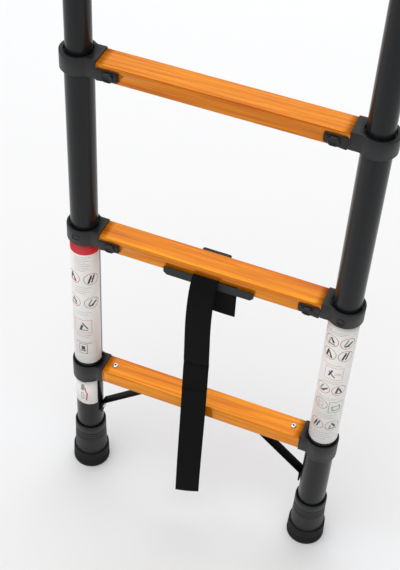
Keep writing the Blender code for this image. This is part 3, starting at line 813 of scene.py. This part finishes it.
for rung in LATCHED_RUNGS:
    for side in SIDES:
        make_latch_plate(rung, side)
print("latch plates made:", count_pieces("latch_plate_"))


# %% Thumb tabs with their sliders and pins
def add_box(bm, low, high, edge=0.0):
    """A closed box between two corners, with its edges rounded."""
    low, high = Vector(low), Vector(high)
    made = bmesh.ops.create_cube(bm, size=1.0)["verts"]
    bmesh.ops.scale(bm, vec=[abs(v) for v in high - low], verts=made)
    bmesh.ops.translate(bm, vec=(low + high) / 2, verts=made)
    if edge:
        edges = list({e for vert in made for e in vert.link_edges})
        bmesh.ops.bevel(bm, geom=edges, offset=edge, segments=2, affect="EDGES", profile=0.5, material=-1)


def add_rod(bm, radius, low_x, high_x, y, z, steps=32):
    """A closed round rod along X."""
    turn = Matrix.Rotation(math.pi / 2, 4, "Y")
    place = Matrix.Translation(((low_x + high_x) / 2, y, z))
    bmesh.ops.create_cone(bm, cap_ends=True, segments=steps, radius1=radius, radius2=radius,
                          depth=abs(high_x - low_x), matrix=place @ turn)


TAB_X = (0.1425, 0.1580)
TAB_Z = (-0.0078, 0.0062)
TAB_FRONT = -0.0255
SHUTTER_X = (0.1378, 0.1586)
SHUTTER_HALF = 0.0056
SHUTTER_BACK = PLATE_FRONT - GAP


def make_latch(rung, side):
    """A shutter over the slot that swells into a dished thumb tab, then web, slider and lock pin."""
    sign = SIDES[side]
    height = TREAD[rung] - PIN_DROP

    def shape(x_range, z_range, shrink, radius, y):
        """A rounded rectangle of the latch at one depth, pulled in from its ranges."""
        half_x, half_z = (x_range[1] - x_range[0]) / 2, (z_range[1] - z_range[0]) / 2
        mid_x, mid_z = sum(x_range) / 2, sum(z_range) / 2
        outline = rounded_rectangle(half_x - shrink, half_z - shrink, radius)
        return [(sign * (mid_x + x), y, height + mid_z + z) for x, z in outline]

    shutter_z = (-SHUTTER_HALF, SHUTTER_HALF)
    face = SHUTTER_BACK - 0.0009
    bm = bmesh.new()
    shutter = [(0.0, SHUTTER_BACK), (0.0, face + 0.0003), (0.0003, face)]
    loops = [shape(SHUTTER_X, shutter_z, shrink, 0.0012, y) for shrink, y in shutter]
    tab = [(0.0004, 0.0046, face - 0.0002), (0.0, 0.0050, face - 0.0012), (0.0, 0.0050, TAB_FRONT + 0.0018),
           (0.0004, 0.0048, TAB_FRONT + 0.0006), (0.0010, 0.0044, TAB_FRONT),
           (0.0017, 0.0040, TAB_FRONT + 0.0003), (0.0030, 0.0030, TAB_FRONT + 0.0013),
           (0.0050, 0.0012, TAB_FRONT + 0.0018)]
    loops += [shape(TAB_X, TAB_Z, shrink, radius, y) for shrink, radius, y in tab]
    rings = loft(bm, loops)
    bmesh.ops.holes_fill(bm, edges=rings[0] + rings[-1])
    add_box(bm, (sign * 0.1490, -0.0219, height - 0.0030), (sign * 0.1550, -0.0140, height + 0.0030), 0.0003)
    add_box(bm, (sign * 0.1400, -0.0155, height - 0.0065), (sign * 0.1545, 0.0060, height + 0.0065), 0.0006)
    tip = STILE_X - tube_radius(rung) - 0.0004
    add_rod(bm, 0.004, sign * 0.150, sign * tip, 0.0, height)
    return finish_piece(bm, f"thumb_latch_{rung}_{side}", LATCH_PLASTIC, f"latch_body_{rung}_{side}",
                        [f"latch_{rung}_{side}"], 30.0)


for rung in LATCHED_RUNGS:
    for side in SIDES:
        make_latch(rung, side)
print("latches made:", count_pieces("thumb_latch_"))

# %% [markdown]
# ## Feet
# A hard plastic sleeve flares towards the floor, with three shallow rings for grip. The rubber sole
# laps over its lower end. Both are turned profiles.

# %% Feet
FOOT_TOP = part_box("foot_sleeve_left")[1].z
SLEEVE_BORE = BASE_RADIUS + GAP


def sleeve_profile():
    """From the inner floor up the bore, over the rim and down the outside."""
    floor_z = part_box("stile_1_left")[0].z - GAP
    points = [(0.0, floor_z), (SLEEVE_BORE, floor_z), (SLEEVE_BORE, FOOT_TOP - 0.004)]
    points += [(SLEEVE_BORE + 0.0010, FOOT_TOP - 0.0006), (SLEEVE_BORE + 0.0016, FOOT_TOP),
               (0.0254, FOOT_TOP), (0.0259, FOOT_TOP - 0.0004), (0.0262, FOOT_TOP - 0.0012)]
    for ring in range(3):
        z = 0.0880 - ring * 0.0060
        points += [(0.0264, z), (0.0258, z - 0.0008), (0.0258, z - 0.0020), (0.0264, z - 0.0028)]
    return points + [(0.0268, 0.0650), (0.0274, 0.0450), (0.0280, 0.0362), (0.0279, 0.0352),
                     (0.0282, 0.0350), (0.0281, 0.0123), (0.0, 0.0123)]


def sole_profile():
    """The rubber cup, with two grooves above its tread."""
    points = [(0.0, 0.0120), (0.0285, 0.0120), (0.0287, 0.0336), (0.0291, 0.0340), (0.0299, 0.0340),
              (0.0304, 0.0335)]
    for z in (0.0150, 0.0090):
        points += [(0.0310, z + 0.0012), (0.0302, z + 0.0006), (0.0302, z - 0.0006), (0.0311, z - 0.0012)]
    return points + [(0.0315, 0.0035), (0.0313, 0.0009), (0.0305, 0.0), (0.0, 0.0)]


for side, sign in SIDES.items():
    centre = (sign * STILE_X, 0, 0)
    finish_piece(lathe(sleeve_profile(), 72, centre, False), f"foot_shell_{side}", TRIM_PLASTIC, "base",
                 [f"foot_sleeve_{side}"])
    finish_piece(lathe(sole_profile(), 72, centre, False), f"foot_tread_{side}", SOLE_RUBBER, "base",
                 [f"foot_sole_{side}"])
print("the foot sleeve's rim is at", round(FOOT_TOP, 4))

# %% [markdown]
# ## End caps, screws and rivets
# These small turned pieces differ only in profile. The screw's driver recess is a hexagon sunk into
# the head, with a dark disc in it that paints the recess's shade.

# %% End caps
def cap_profile():
    """A shallow dome on a spigot that plugs the highest tube."""
    spigot = tube_radius(6) - TUBE_WALL - GAP
    turns = [math.pi / 2 * i / 10 for i in range(11)]
    dome = [(0.0200 * math.sin(a), 0.0024 + 0.0042 * math.cos(a)) for a in turns]
    dome[0] = (0.0, dome[0][1])
    return dome + [(0.0205, 0.0021), (spigot, 0.0021), (spigot, -0.0172), (spigot - 0.0008, -0.018),
                   (0.0, -0.018)]


for side, sign in SIDES.items():
    bm = lathe(cap_profile(), 64, (sign * STILE_X, 0, TREAD[7]), False)
    finish_piece(bm, f"end_cap_{side}", TRIM_PLASTIC, "section_7", [f"top_cap_{side}"])
print("end caps sit at", round(TREAD[7], 3))

# %% Screws in the lowest rung
SCREW_X = sum(v.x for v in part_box("rung_screw_right")) / 2


def make_screw(side):
    """Pan head with a hexagonal recess, lofted down into the head."""
    bm = bmesh.new()
    turns = [2 * math.pi * i / 36 for i in range(36)]
    centre = Vector((SIDES[side] * SCREW_X, 0, TREAD[1]))

    def ring(radius, height, six=0.0):
        """Points round the screw at one height: a circle, or a hexagon where six is 1."""
        points = []
        for a in turns:
            flat = math.cos(math.pi / 6) / math.cos((a % (math.pi / 3)) - math.pi / 6)
            distance = radius * (1 - six + six * flat)
            points.append((centre.x + distance * math.cos(a), distance * math.sin(a), centre.z + height))
        return points

    shank = [ring(0.0020, -0.0100), ring(0.0020, GAP), ring(0.0046, GAP), ring(0.0048, 0.0006)]
    head = [ring(0.0046, 0.0014), ring(0.0039, 0.0021), ring(0.0030, 0.0025), ring(0.0023, 0.0026)]
    recess = [ring(0.0021, 0.0025, 1.0), ring(0.0019, 0.0006, 1.0), ring(0.0004, -0.0004, 1.0)]
    rings = loft(bm, [ring(0.0004, -0.0120)] + shank + head + recess)
    bmesh.ops.holes_fill(bm, edges=rings[0] + rings[-1])
    return finish_piece(bm, f"pan_screw_{side}", ZINC, "base", [f"rung_screw_{side}"])


# A dark disc of brace coating sits in each screw's recess as painted shade.
recess_shade_disc = [(0.0, 0.0014), (0.0015, 0.0014), (0.0017, 0.0012), (0.0015, 0.0004), (0.0, 0.0004)]
for side, sign in SIDES.items():
    make_screw(side)
    bm = lathe(recess_shade_disc, 24, (sign * SCREW_X, 0, TREAD[1]), False)
    finish_piece(bm, f"screw_socket_{side}", BRACE_COAT, "base", ())
print("screws stand at x =", round(SCREW_X, 4))

# %% Braces
BRACE_LOW, BRACE_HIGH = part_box("brace_right")
BRACE_THICK = 0.0025
BRACE_BEND = 0.0028
KNEE_HEIGHT = 0.1590
KNEE_X = 0.0910


def brace_line():
    """Centre line of the bent bar in (x, z), with its two bends drawn as arcs."""
    stile_end = BRACE_HIGH.x - BRACE_THICK / 2
    rung_z = BRACE_HIGH.z - BRACE_THICK / 2
    places = ((stile_end, BRACE_LOW.z), (stile_end, KNEE_HEIGHT), (KNEE_X, rung_z), (BRACE_LOW.x, rung_z))
    corners = [Vector(place) for place in places]
    points = [corners[0]]
    for before, knee, after in zip(corners, corners[1:], corners[2:]):
        start = knee + (before - knee).normalized() * BRACE_BEND
        stop = knee + (after - knee).normalized() * BRACE_BEND
        for i in range(7):
            t = i / 6
            points.append((1 - t) ** 2 * start + 2 * t * (1 - t) * knee + t * t * stop)
    return points + [corners[-1]]


def make_brace(side):
    """A ribbon along the centre line, thickened by Solidify and softened by Bevel."""
    sign = SIDES[side]
    bm = bmesh.new()
    row = [bm.verts.new((sign * p.x, BRACE_LOW.y, p.y)) for p in brace_line()]
    edges = [bm.edges.new(pair) for pair in zip(row, row[1:])]
    grown = bmesh.ops.extrude_edge_only(bm, edges=edges)["geom"]
    far = [item for item in grown if isinstance(item, bmesh.types.BMVert)]
    bmesh.ops.translate(bm, vec=(0, BRACE_HIGH.y - BRACE_LOW.y, 0), verts=far)
    piece = finish_piece(bm, f"brace_bar_{side}", BRACE_COAT, "base", [f"brace_{side}"])
    wall = piece.modifiers.new("plate", "SOLIDIFY")
    wall.thickness = BRACE_THICK
    wall.offset = 0.0
    soft = piece.modifiers.new("edges", "BEVEL")
    soft.width = 0.0005
    soft.segments = 2
    soft.limit_method = "ANGLE"
    return piece


for side in SIDES:
    make_brace(side)
print("the brace rises from", round(BRACE_LOW.z, 3), "to", round(BRACE_HIGH.z, 3))

# %% Rivets
def rivet_profile():
    """A domed head on a short shank, head towards +Z."""
    dome = [(0.0038 * math.sin(a), 0.0022 * math.cos(a)) for a in [math.pi / 2 * i / 7 for i in range(8)]]
    dome[0] = (0.0, dome[0][1])
    return dome + [(0.0020, 0.0), (0.0020, -0.0040), (0.0018, -0.0042), (0.0, -0.0042)]


def place_rivet(name, node, turn):
    """Spin the profile, turn it to its direction and move its head to the model's rivet."""
    low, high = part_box(node)
    bm = lathe(rivet_profile(), 36, (0, 0, 0), False)
    bmesh.ops.transform(bm, matrix=turn, verts=bm.verts)
    spread = [[vert.co[axis] for vert in bm.verts] for axis in range(3)]
    middle = Vector([(min(places) + max(places)) / 2 for places in spread])
    bmesh.ops.translate(bm, vec=(low + high) / 2 - middle, verts=bm.verts)
    return finish_piece(bm, name, ZINC, "base", [node])


for side, sign in SIDES.items():
    place_rivet(f"stile_rivet_{side}", f"brace_rivet_{side}", Matrix.Rotation(-sign * math.pi / 2, 4, "Y"))
    place_rivet(f"rung_rivet_{side}", f"brace_rung_rivet_{side}", Matrix.Rotation(math.pi, 4, "X"))
print("rivets made:", count_pieces("stile_rivet_") + count_pieces("rung_rivet_"))

# %% [markdown]
# ## Strap holder
# The holder hooks under rung 2. Its long front lip keeps the strap in place, and a short hook grips
# the rear of the rung. The model's solid has the right shape, so it stays and gets its finish.

# %% Finish the holder
holder = frame["nodes"]["strap_plate"]
holder.data.materials.clear()
holder.data.materials.append(TRIM_PLASTIC)
print("holder finish:", holder.data.materials[0].name)

# %% [markdown]
# ## Strap and tail
# The strap is flat polypropylene webbing, 39 mm wide. It comes up behind the holder's lip, folds over
# its top, bows out and hangs down in front, past the lowest rung. It turns a little as it falls and
# keeps two faint creases where it was folded in the box. Their shade is painted into its colour, and
# the colour is also a little darker below the first crease. Webbing is modelled directly: a
# ribbon of quads that follows a centre line, with a UV map in metres for the weave.

# %% Centre line of the strap
STRAP_LOW, STRAP_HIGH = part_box("strap")
TAIL_LOW, TAIL_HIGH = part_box("strap_tail")
WEBBING_THICK = 0.0012
LIP_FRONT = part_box("strap_plate")[0].y - 0.0016      # middle of the webbing where it leaves the lip
FALL_STEPS = 240


def strap_line():
    """(y, z) points: up behind the lip, over it and straight down to the free end."""
    behind = (TAIL_LOW.y + TAIL_HIGH.y) / 2
    shoulder = STRAP_HIGH.z - WEBBING_THICK / 2 + 0.0004
    radius = (behind - LIP_FRONT) / 2
    points = [(behind, STRAP_HIGH.z - 0.010), (behind, STRAP_HIGH.z - 0.003)]
    middle = (LIP_FRONT + behind) / 2
    for i in range(9):
        a = math.pi * i / 8
        points.append((middle + radius * math.cos(a), shoulder + WEBBING_THICK * math.sin(a)))
    for i in range(1, FALL_STEPS + 1):
        points.append((LIP_FRONT, shoulder + (STRAP_LOW.z - shoulder) * i / FALL_STEPS))
    return points


def line_length(points):
    """Length along a list of points."""
    return sum(math.dist(a, b) for a, b in zip(points, points[1:]))


OVER_LIP = line_length(strap_line()[:11])


# %% A ribbon of webbing
def make_webbing(name, centre_x, width, points, lean, node):
    """A grid bent along the centre line and leaned by a function of the length already passed."""
    columns = 12
    rows = len(points) - 1
    bm = bmesh.new()
    bmesh.ops.create_grid(bm, x_segments=columns, y_segments=rows, size=0.5)
    uv_layer = bm.loops.layers.uv.new("cloth")
    travelled = [0.0]
    for before, after in zip(points, points[1:]):
        travelled.append(travelled[-1] + math.dist(before, after))
    for face in bm.faces:
        for loop in face.loops:
            row = round((loop.vert.co.y + 0.5) * rows)
            loop[uv_layer].uv = ((loop.vert.co.x + 0.5) * width, travelled[row])
    # Each vertex holds painted shade that darkens the webbing's colour.
    painted_fold_shade_layer = bm.verts.layers.float.new("fold")
    for vert in bm.verts:
        row = round((vert.co.y + 0.5) * rows)
        across = vert.co.x * width
        turn, shift, swing, belly, vert[painted_fold_shade_layer] = lean(travelled[row])
        y, z = points[row]
        y += swing + belly * (1 - (2 * vert.co.x) ** 2) + across * math.sin(turn)
        vert.co = (centre_x + shift + across * math.cos(turn), y, z)
    piece = finish_piece(bm, name, WEBBING, "base", [node], 60.0, recalc=False)
    wall = piece.modifiers.new("thickness", "SOLIDIFY")
    wall.thickness = WEBBING_THICK
    wall.offset = 0.0
    return piece


def settle(value):
    """A smooth step from 0 to 1."""
    value = min(max(value, 0.0), 1.0)
    return value * value * (3 - 2 * value)


def bump(value, middle, width):
    """A smooth bump of height 1 about a middle."""
    return math.exp(-((value - middle) / width) ** 2)


CREASES = (0.1655, 0.2255)             # below the lip, along the strap


def strap_lean(gone):
    """Turn, sideways shift, forward swing, belly and painted fold shade of the strap after a length of
    webbing.
    """
    fall = max(gone - OVER_LIP, 0.0)
    crease = bump(fall, CREASES[0], 0.007) - 0.6 * bump(fall, CREASES[1], 0.006)
    # Painted shade: the colour darkens in the two creases and is a little darker below the first crease.
    fold = 0.7 * bump(fall, CREASES[0], 0.0024) + 0.5 * bump(fall, CREASES[1], 0.0024)
    fold = min(fold + 0.22 * settle((fall - 0.160) / 0.060), 1.0)
    turn = math.radians(17.0) * settle(fall / 0.36)
    shift = -0.0012 * bump(fall, 0.080, 0.050)
    bow = -0.0155 * (1 - math.exp(-fall / 0.018))
    swing = bow - 0.0060 * settle((fall - 0.205) / 0.26) + 0.0012 * crease
    return turn, shift, swing, -0.0010 * settle(fall / 0.1), fold


STRAP_WIDTH = STRAP_HIGH.x - STRAP_LOW.x
STRAP_MIDDLE = (STRAP_LOW.x + STRAP_HIGH.x) / 2
strap = make_webbing("hanging_strap", STRAP_MIDDLE, STRAP_WIDTH, strap_line(), strap_lean, "strap")
print("strap width", round(STRAP_WIDTH, 4))


# %% The short tail
TAIL_STEPS = 18


def tail_line():
    """The tail hangs straight down behind the lip."""
    y = (TAIL_LOW.y + TAIL_HIGH.y) / 2
    fall = TAIL_LOW.z + WEBBING_THICK - TAIL_HIGH.z
    return [(y, TAIL_HIGH.z + fall * i / TAIL_STEPS) for i in range(TAIL_STEPS + 1)]


def tail_lean(gone):
    """The tail hangs flat, with a slight hollow towards its end."""
    return 0.0, 0.0, 0.0, -0.006 * gone, 0.0


TAIL_MIDDLE = (TAIL_LOW.x + TAIL_HIGH.x) / 2
tail = make_webbing("strap_end", TAIL_MIDDLE, STRAP_WIDTH, tail_line(), tail_lean, "strap_tail")
print("tail length", round(line_length(tail_line()), 4))

# %% [markdown]
# ## Printed labels
# The lowest tubes wear printed film. The print here is a plain layout of rings, frames and grey bars
# that only stands for a label: it has no words and no signs. Two small groups draw a ring and a
# frame from a UV map in metres, and each label is a list of marks.

# %% Groups that draw one mark
def build_print_ring():
    """A thin circle: 1 where the distance from its centre is within half a line of the radius."""
    tree, start, end = new_group("print_ring",
                                 [("UV", "NodeSocketVector", (0.0, 0.0, 0.0)), ("X", "NodeSocketFloat", 0.0),
                                  ("Y", "NodeSocketFloat", 0.0), ("Radius", "NodeSocketFloat", 0.01),
                                  ("Line", "NodeSocketFloat", 0.001)], [("Mask", "NodeSocketFloat")])
    split = tree.nodes.new("ShaderNodeSeparateXYZ")
    tree.links.new(start.outputs["UV"], split.inputs[0])
    dx = math_node(tree, "SUBTRACT", split.outputs["X"], start.outputs["X"])
    dy = math_node(tree, "SUBTRACT", split.outputs["Y"], start.outputs["Y"])
    squared = math_node(tree, "ADD", math_node(tree, "MULTIPLY", dx, dx), math_node(tree, "MULTIPLY", dy, dy))
    distance = math_node(tree, "SQRT", squared)
    off = math_node(tree, "ABSOLUTE", math_node(tree, "SUBTRACT", distance, start.outputs["Radius"]))
    half_line = math_node(tree, "MULTIPLY", start.outputs["Line"], 0.5)
    tree.links.new(math_node(tree, "LESS_THAN", off, half_line), end.inputs["Mask"])
    return tree


def build_print_frame():
    """A turned rectangle: its border where Line is small, the whole of it where Line is large."""
    tree, start, end = new_group("print_frame",
                                 [("UV", "NodeSocketVector", (0.0, 0.0, 0.0)), ("X", "NodeSocketFloat", 0.0),
                                  ("Y", "NodeSocketFloat", 0.0), ("Half Width", "NodeSocketFloat", 0.01),
                                  ("Half Height", "NodeSocketFloat", 0.01), ("Line", "NodeSocketFloat", 1.0),
                                  ("Turn", "NodeSocketFloat", 0.0)], [("Mask", "NodeSocketFloat")])
    centre = tree.nodes.new("ShaderNodeCombineXYZ")
    tree.links.new(start.outputs["X"], centre.inputs["X"])
    tree.links.new(start.outputs["Y"], centre.inputs["Y"])
    rotate = tree.nodes.new("ShaderNodeVectorRotate")
    rotate.rotation_type = "Z_AXIS"
    tree.links.new(start.outputs["UV"], rotate.inputs["Vector"])
    tree.links.new(centre.outputs["Vector"], rotate.inputs["Center"])
    tree.links.new(start.outputs["Turn"], rotate.inputs["Angle"])
    split = tree.nodes.new("ShaderNodeSeparateXYZ")
    tree.links.new(rotate.outputs["Vector"], split.inputs[0])
    depths = []
    for axis, half in (("X", "Half Width"), ("Y", "Half Height")):
        from_centre = math_node(tree, "SUBTRACT", split.outputs[axis], start.outputs[axis])
        away = math_node(tree, "ABSOLUTE", from_centre)
        depths.append(math_node(tree, "SUBTRACT", start.outputs[half], away))
    depth = math_node(tree, "MINIMUM", depths[0], depths[1])
    inside = math_node(tree, "GREATER_THAN", depth, 0.0)
    shallow = math_node(tree, "LESS_THAN", depth, start.outputs["Line"])
    tree.links.new(math_node(tree, "MULTIPLY", inside, shallow), end.inputs["Mask"])
    return tree


PRINT_RING = build_print_ring()
PRINT_FRAME = build_print_frame()
print("print groups:", PRINT_RING.name, PRINT_FRAME.name)

# %% Inks and the label material
INKS = {"red": (0.80, 0.032, 0.045), "grey": (0.33, 0.33, 0.33), "dark": (0.035, 0.033, 0.034),
        "green": (0.10, 0.32, 0.16), "faint": (0.60, 0.58, 0.55), "wine": (0.42, 0.016, 0.024)}
SOLID = 1.0


def new_label(name, marks):
    """Film with printed marks. A mark is (ink, shape, x, y, ...) in metres on the label."""
    material = new_finish(name, MOULDED_GRAIN, {"Grain Scale": 1800.0, "Blotch Scale": 30.0},
                          [(0.97, 0.94, 0.90), (1.0, 0.98, 0.95)], (0.34, 0.46), (0.05, 0.0001))
    tree = material.node_tree
    shader = tree.nodes["Principled BSDF"]
    uv = tree.nodes.new("ShaderNodeUVMap")
    uv.uv_map = "print"
    colour = shader.inputs["Base Color"].links[0].from_socket
    for ink, value in INKS.items():
        mask = None
        for mark in [mark for mark in marks if mark[0] == ink]:
            node = tree.nodes.new("ShaderNodeGroup")
            node.node_tree = PRINT_RING if mark[1] == "ring" else PRINT_FRAME
            names = ("X", "Y", "Radius", "Line")
            if mark[1] == "frame":
                names = ("X", "Y", "Half Width", "Half Height", "Line", "Turn")
            for title, number in zip(names, mark[2:]):
                node.inputs[title].default_value = number
            tree.links.new(uv.outputs["UV"], node.inputs["UV"])
            mask = node.outputs[0] if mask is None else math_node(tree, "MAXIMUM", mask, node.outputs[0])
        if mask is not None:
            mix = tree.nodes.new("ShaderNodeMix")
            mix.data_type = "RGBA"
            tree.links.new(mask, mix.inputs["Factor"])
            tree.links.new(colour, mix.inputs["A"])
            mix.inputs["B"].default_value = (*value, 1.0)
            colour = mix.outputs["Result"]
    tree.links.new(colour, shader.inputs["Base Color"])
    return material


print("inks:", ", ".join(INKS))


# %% Layout of the labels
def bars(ink, x, y, width, rows, pitch, line=0.0008):
    """Rows of thin bars of uneven length that stand for print."""
    lengths = (1.0, 0.82, 0.93, 0.70, 0.88)
    marks = []
    for row in range(rows):
        half = width / 2 * lengths[row % len(lengths)]
        marks.append((ink, "frame", x - width / 2 + half, y - row * pitch, half, line / 2, SOLID))
    return marks


STROKES = [[("dark", -0.0026, 0.0006, 0.0013, 0.0062, 0.20), ("dark", 0.0020, -0.0010, 0.0011, 0.0056, -0.45),
            ("wine", 0.0004, -0.0052, 0.0044, 0.0007, 0.1)],
           [("dark", -0.0018, 0.0, 0.0012, 0.0068, 0.30), ("dark", 0.0022, 0.0004, 0.0010, 0.0064, 0.30),
            ("grey", 0.0002, 0.0010, 0.0040, 0.0006, -0.5)],
           [("dark", 0.0014, 0.0016, 0.0014, 0.0046, -0.60), ("grey", -0.0030, -0.0022, 0.0009, 0.0042, 0.15),
            ("dark", 0.0006, -0.0050, 0.0048, 0.0008, 0.0)],
           [("grey", -0.0022, 0.0012, 0.0010, 0.0058, 0.40), ("dark", 0.0026, -0.0012, 0.0012, 0.0050, 0.80),
            ("dark", -0.0006, -0.0044, 0.0030, 0.0012, -0.2)]]


def ring_pair(x, y, gap, radius, first):
    """Two thin red rings side by side, each with a few loose strokes in it."""
    marks = []
    for number, middle in enumerate((x - gap / 2, x + gap / 2)):
        marks.append(("wine", "ring", middle, y, radius, 0.0008))
        for ink, dx, dy, half_width, half_height, turn in STROKES[(first + number) % len(STROKES)]:
            share = radius / 0.0092
            marks.append((ink, "frame", middle + dx * share, y + dy * share, half_width * share,
                          half_height * share, SOLID, turn))
    return marks


DEGREE = math.radians(1.0) * BASE_RADIUS


def left_marks():
    """The left label: a red band on top, then bars, rings and frames down its length."""
    x = 8 * DEGREE
    marks = [("red", "frame", 0.0, -0.0350, 0.040, 0.0121, SOLID)]
    marks += bars("wine", x, -0.0345, 0.030, 3, 0.0038, 0.0007)
    marks += bars("grey", x + 0.001, -0.0520, 0.026, 9, 0.0036, 0.0006)
    marks += ring_pair(x, -0.0985, 76 * DEGREE, 0.0116, 0)
    marks += bars("grey", x + 0.001, -0.1160, 0.026, 4, 0.0042, 0.0006)
    marks += ring_pair(x, -0.1500, 76 * DEGREE, 0.0116, 2)
    marks += bars("grey", x + 0.001, -0.1710, 0.026, 2, 0.0050, 0.0006)
    marks += [("red", "frame", x - 0.001, -0.2030, 0.0150, 0.0145, 0.0006),
              ("dark", "frame", x - 0.003, -0.2060, 0.0018, 0.0066, SOLID, 0.3),
              ("dark", "frame", x + 0.003, -0.2010, 0.0011, 0.0080, SOLID, -0.6),
              ("dark", "frame", x + 0.001, -0.2110, 0.0070, 0.0008, SOLID)]
    marks += bars("grey", x, -0.2230, 0.028, 2, 0.0040, 0.0006)
    marks += [("faint", "frame", x + 0.004, -0.2530, 0.0170, 0.0140, 0.0005),
              ("dark", "frame", x - 0.001, -0.2555, 0.0068, 0.0110, 0.0008),
              ("dark", "frame", x - 0.001, -0.2535, 0.0030, 0.0040, SOLID),
              ("dark", "frame", x - 0.001, -0.2600, 0.0044, 0.0012, SOLID)]
    marks += bars("wine", x, -0.2415, 0.027, 1, 0.004, 0.0010)
    return marks


def right_marks():
    """The right label: pairs of rings with frames between them."""
    x = 7 * DEGREE
    marks = bars("grey", x - 0.004, -0.0410, 0.032, 2, 0.0032, 0.0006)
    marks += ring_pair(x, -0.0600, 63 * DEGREE, 0.0108, 2)
    marks += ring_pair(x, -0.0868, 63 * DEGREE, 0.0108, 0)
    marks += bars("grey", x - 0.005, -0.1080, 0.030, 1, 0.0030, 0.0006)
    marks += [("red", "frame", x, -0.1260, 0.0140, 0.0130, 0.0006),
              ("dark", "frame", x - 0.005, -0.1250, 0.0013, 0.0070, SOLID, 0.35),
              ("dark", "frame", x - 0.003, -0.1280, 0.0009, 0.0080, SOLID, -0.7),
              ("grey", "frame", x + 0.006, -0.1250, 0.0045, 0.0004, SOLID),
              ("grey", "frame", x + 0.006, -0.1280, 0.0045, 0.0004, SOLID)]
    marks += bars("grey", x, -0.1440, 0.030, 2, 0.0036, 0.0006)
    marks += ring_pair(x, -0.1628, 63 * DEGREE, 0.0108, 3)
    marks += bars("grey", x, -0.1820, 0.032, 2, 0.0036, 0.0006)
    marks += [("wine", "ring", x - 0.0112, -0.1985, 0.0104, 0.0008),
              ("grey", "frame", x - 0.0112, -0.1985, 0.0040, 0.0050, 0.0008),
              ("green", "frame", x + 0.0130, -0.2020, 0.0115, 0.0125, 0.0009),
              ("dark", "frame", x + 0.0130, -0.2040, 0.0066, 0.0050, 0.0013, -0.15)]
    marks += bars("grey", x, -0.2200, 0.032, 3, 0.0042, 0.0006)
    marks += ring_pair(x, -0.2460, 63 * DEGREE, 0.0108, 1)
    marks += bars("grey", x, -0.2640, 0.032, 4, 0.0050, 0.0006)
    return marks


def low_marks():
    """The small label under the lowest collar: grey strokes beside a bent red one."""
    return [("grey", "frame", -0.0020, -0.3540, 0.0028, 0.0080, SOLID, 0.1),
            ("dark", "frame", -0.0022, -0.3755, 0.0026, 0.0080, 0.0009),
            ("red", "frame", 0.0030, -0.3600, 0.0011, 0.0075, SOLID, -0.2),
            ("red", "frame", 0.0050, -0.3760, 0.0012, 0.0095, SOLID, 0.1)]


print("marks:", len(left_marks()), len(right_marks()), len(low_marks()))


# %% Label film round the tubes
def make_label(name, side, middle, half_angle, top, bottom, marks):
    """A film round part of a tube. Angles are from the user's side, growing to the right, and the
    UV map holds arc length and height from rung 2's tread."""
    film = 0.00012
    radius = BASE_RADIUS + 0.00010
    sign = SIDES[side]
    steps = 60
    bm = bmesh.new()
    start = math.radians(middle - half_angle)
    x, y = radius * math.sin(start), -radius * math.cos(start)
    line = [bm.verts.new((x, y, bottom)), bm.verts.new((x, y, top))]
    edge = bm.edges.new(line)
    bmesh.ops.spin(bm, geom=line + [edge], cent=(0, 0, 0), axis=(0, 0, 1), angle=2 * math.radians(half_angle),
                   steps=steps)
    uv_layer = bm.loops.layers.uv.new("print")
    for face in bm.faces:
        for loop in face.loops:
            place = loop.vert.co
            loop[uv_layer].uv = (math.atan2(place.x, -place.y) * BASE_RADIUS, place.z - TREAD[2])
        outward = face.calc_center_median()
        if face.normal.dot(Vector((outward.x, outward.y, 0))) < 0:
            face.normal_flip()
    bmesh.ops.translate(bm, vec=(sign * STILE_X, 0, 0), verts=bm.verts)
    piece = finish_piece(bm, name, new_label(name, marks), "base", recalc=False)
    wall = piece.modifiers.new("film", "SOLIDIFY")
    wall.thickness = film
    wall.offset = 1.0
    return piece


LABEL_TOP = TREAD[2] - 0.0262
LABEL_BOTTOM = TREAD[2] - 0.2906
make_label("label_left", "left", 1, 90, LABEL_TOP, LABEL_BOTTOM, left_marks())
make_label("label_right", "right", -4, 94, LABEL_TOP, LABEL_BOTTOM, right_marks())
make_label("label_low_left", "left", -2, 62, TREAD[1] - 0.0375, TREAD[1] - 0.0950, low_marks())
print("labels run from", round(LABEL_TOP, 3), "down to", round(LABEL_BOTTOM, 3))

# %% [markdown]
# ## Size of the visual model
# The visual model has to stay inside the engineering model's box, so the visual box is printed.

# %% Print the visual box
low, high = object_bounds()
print("visual box", [round(v, 4) for v in (*low, *high)])
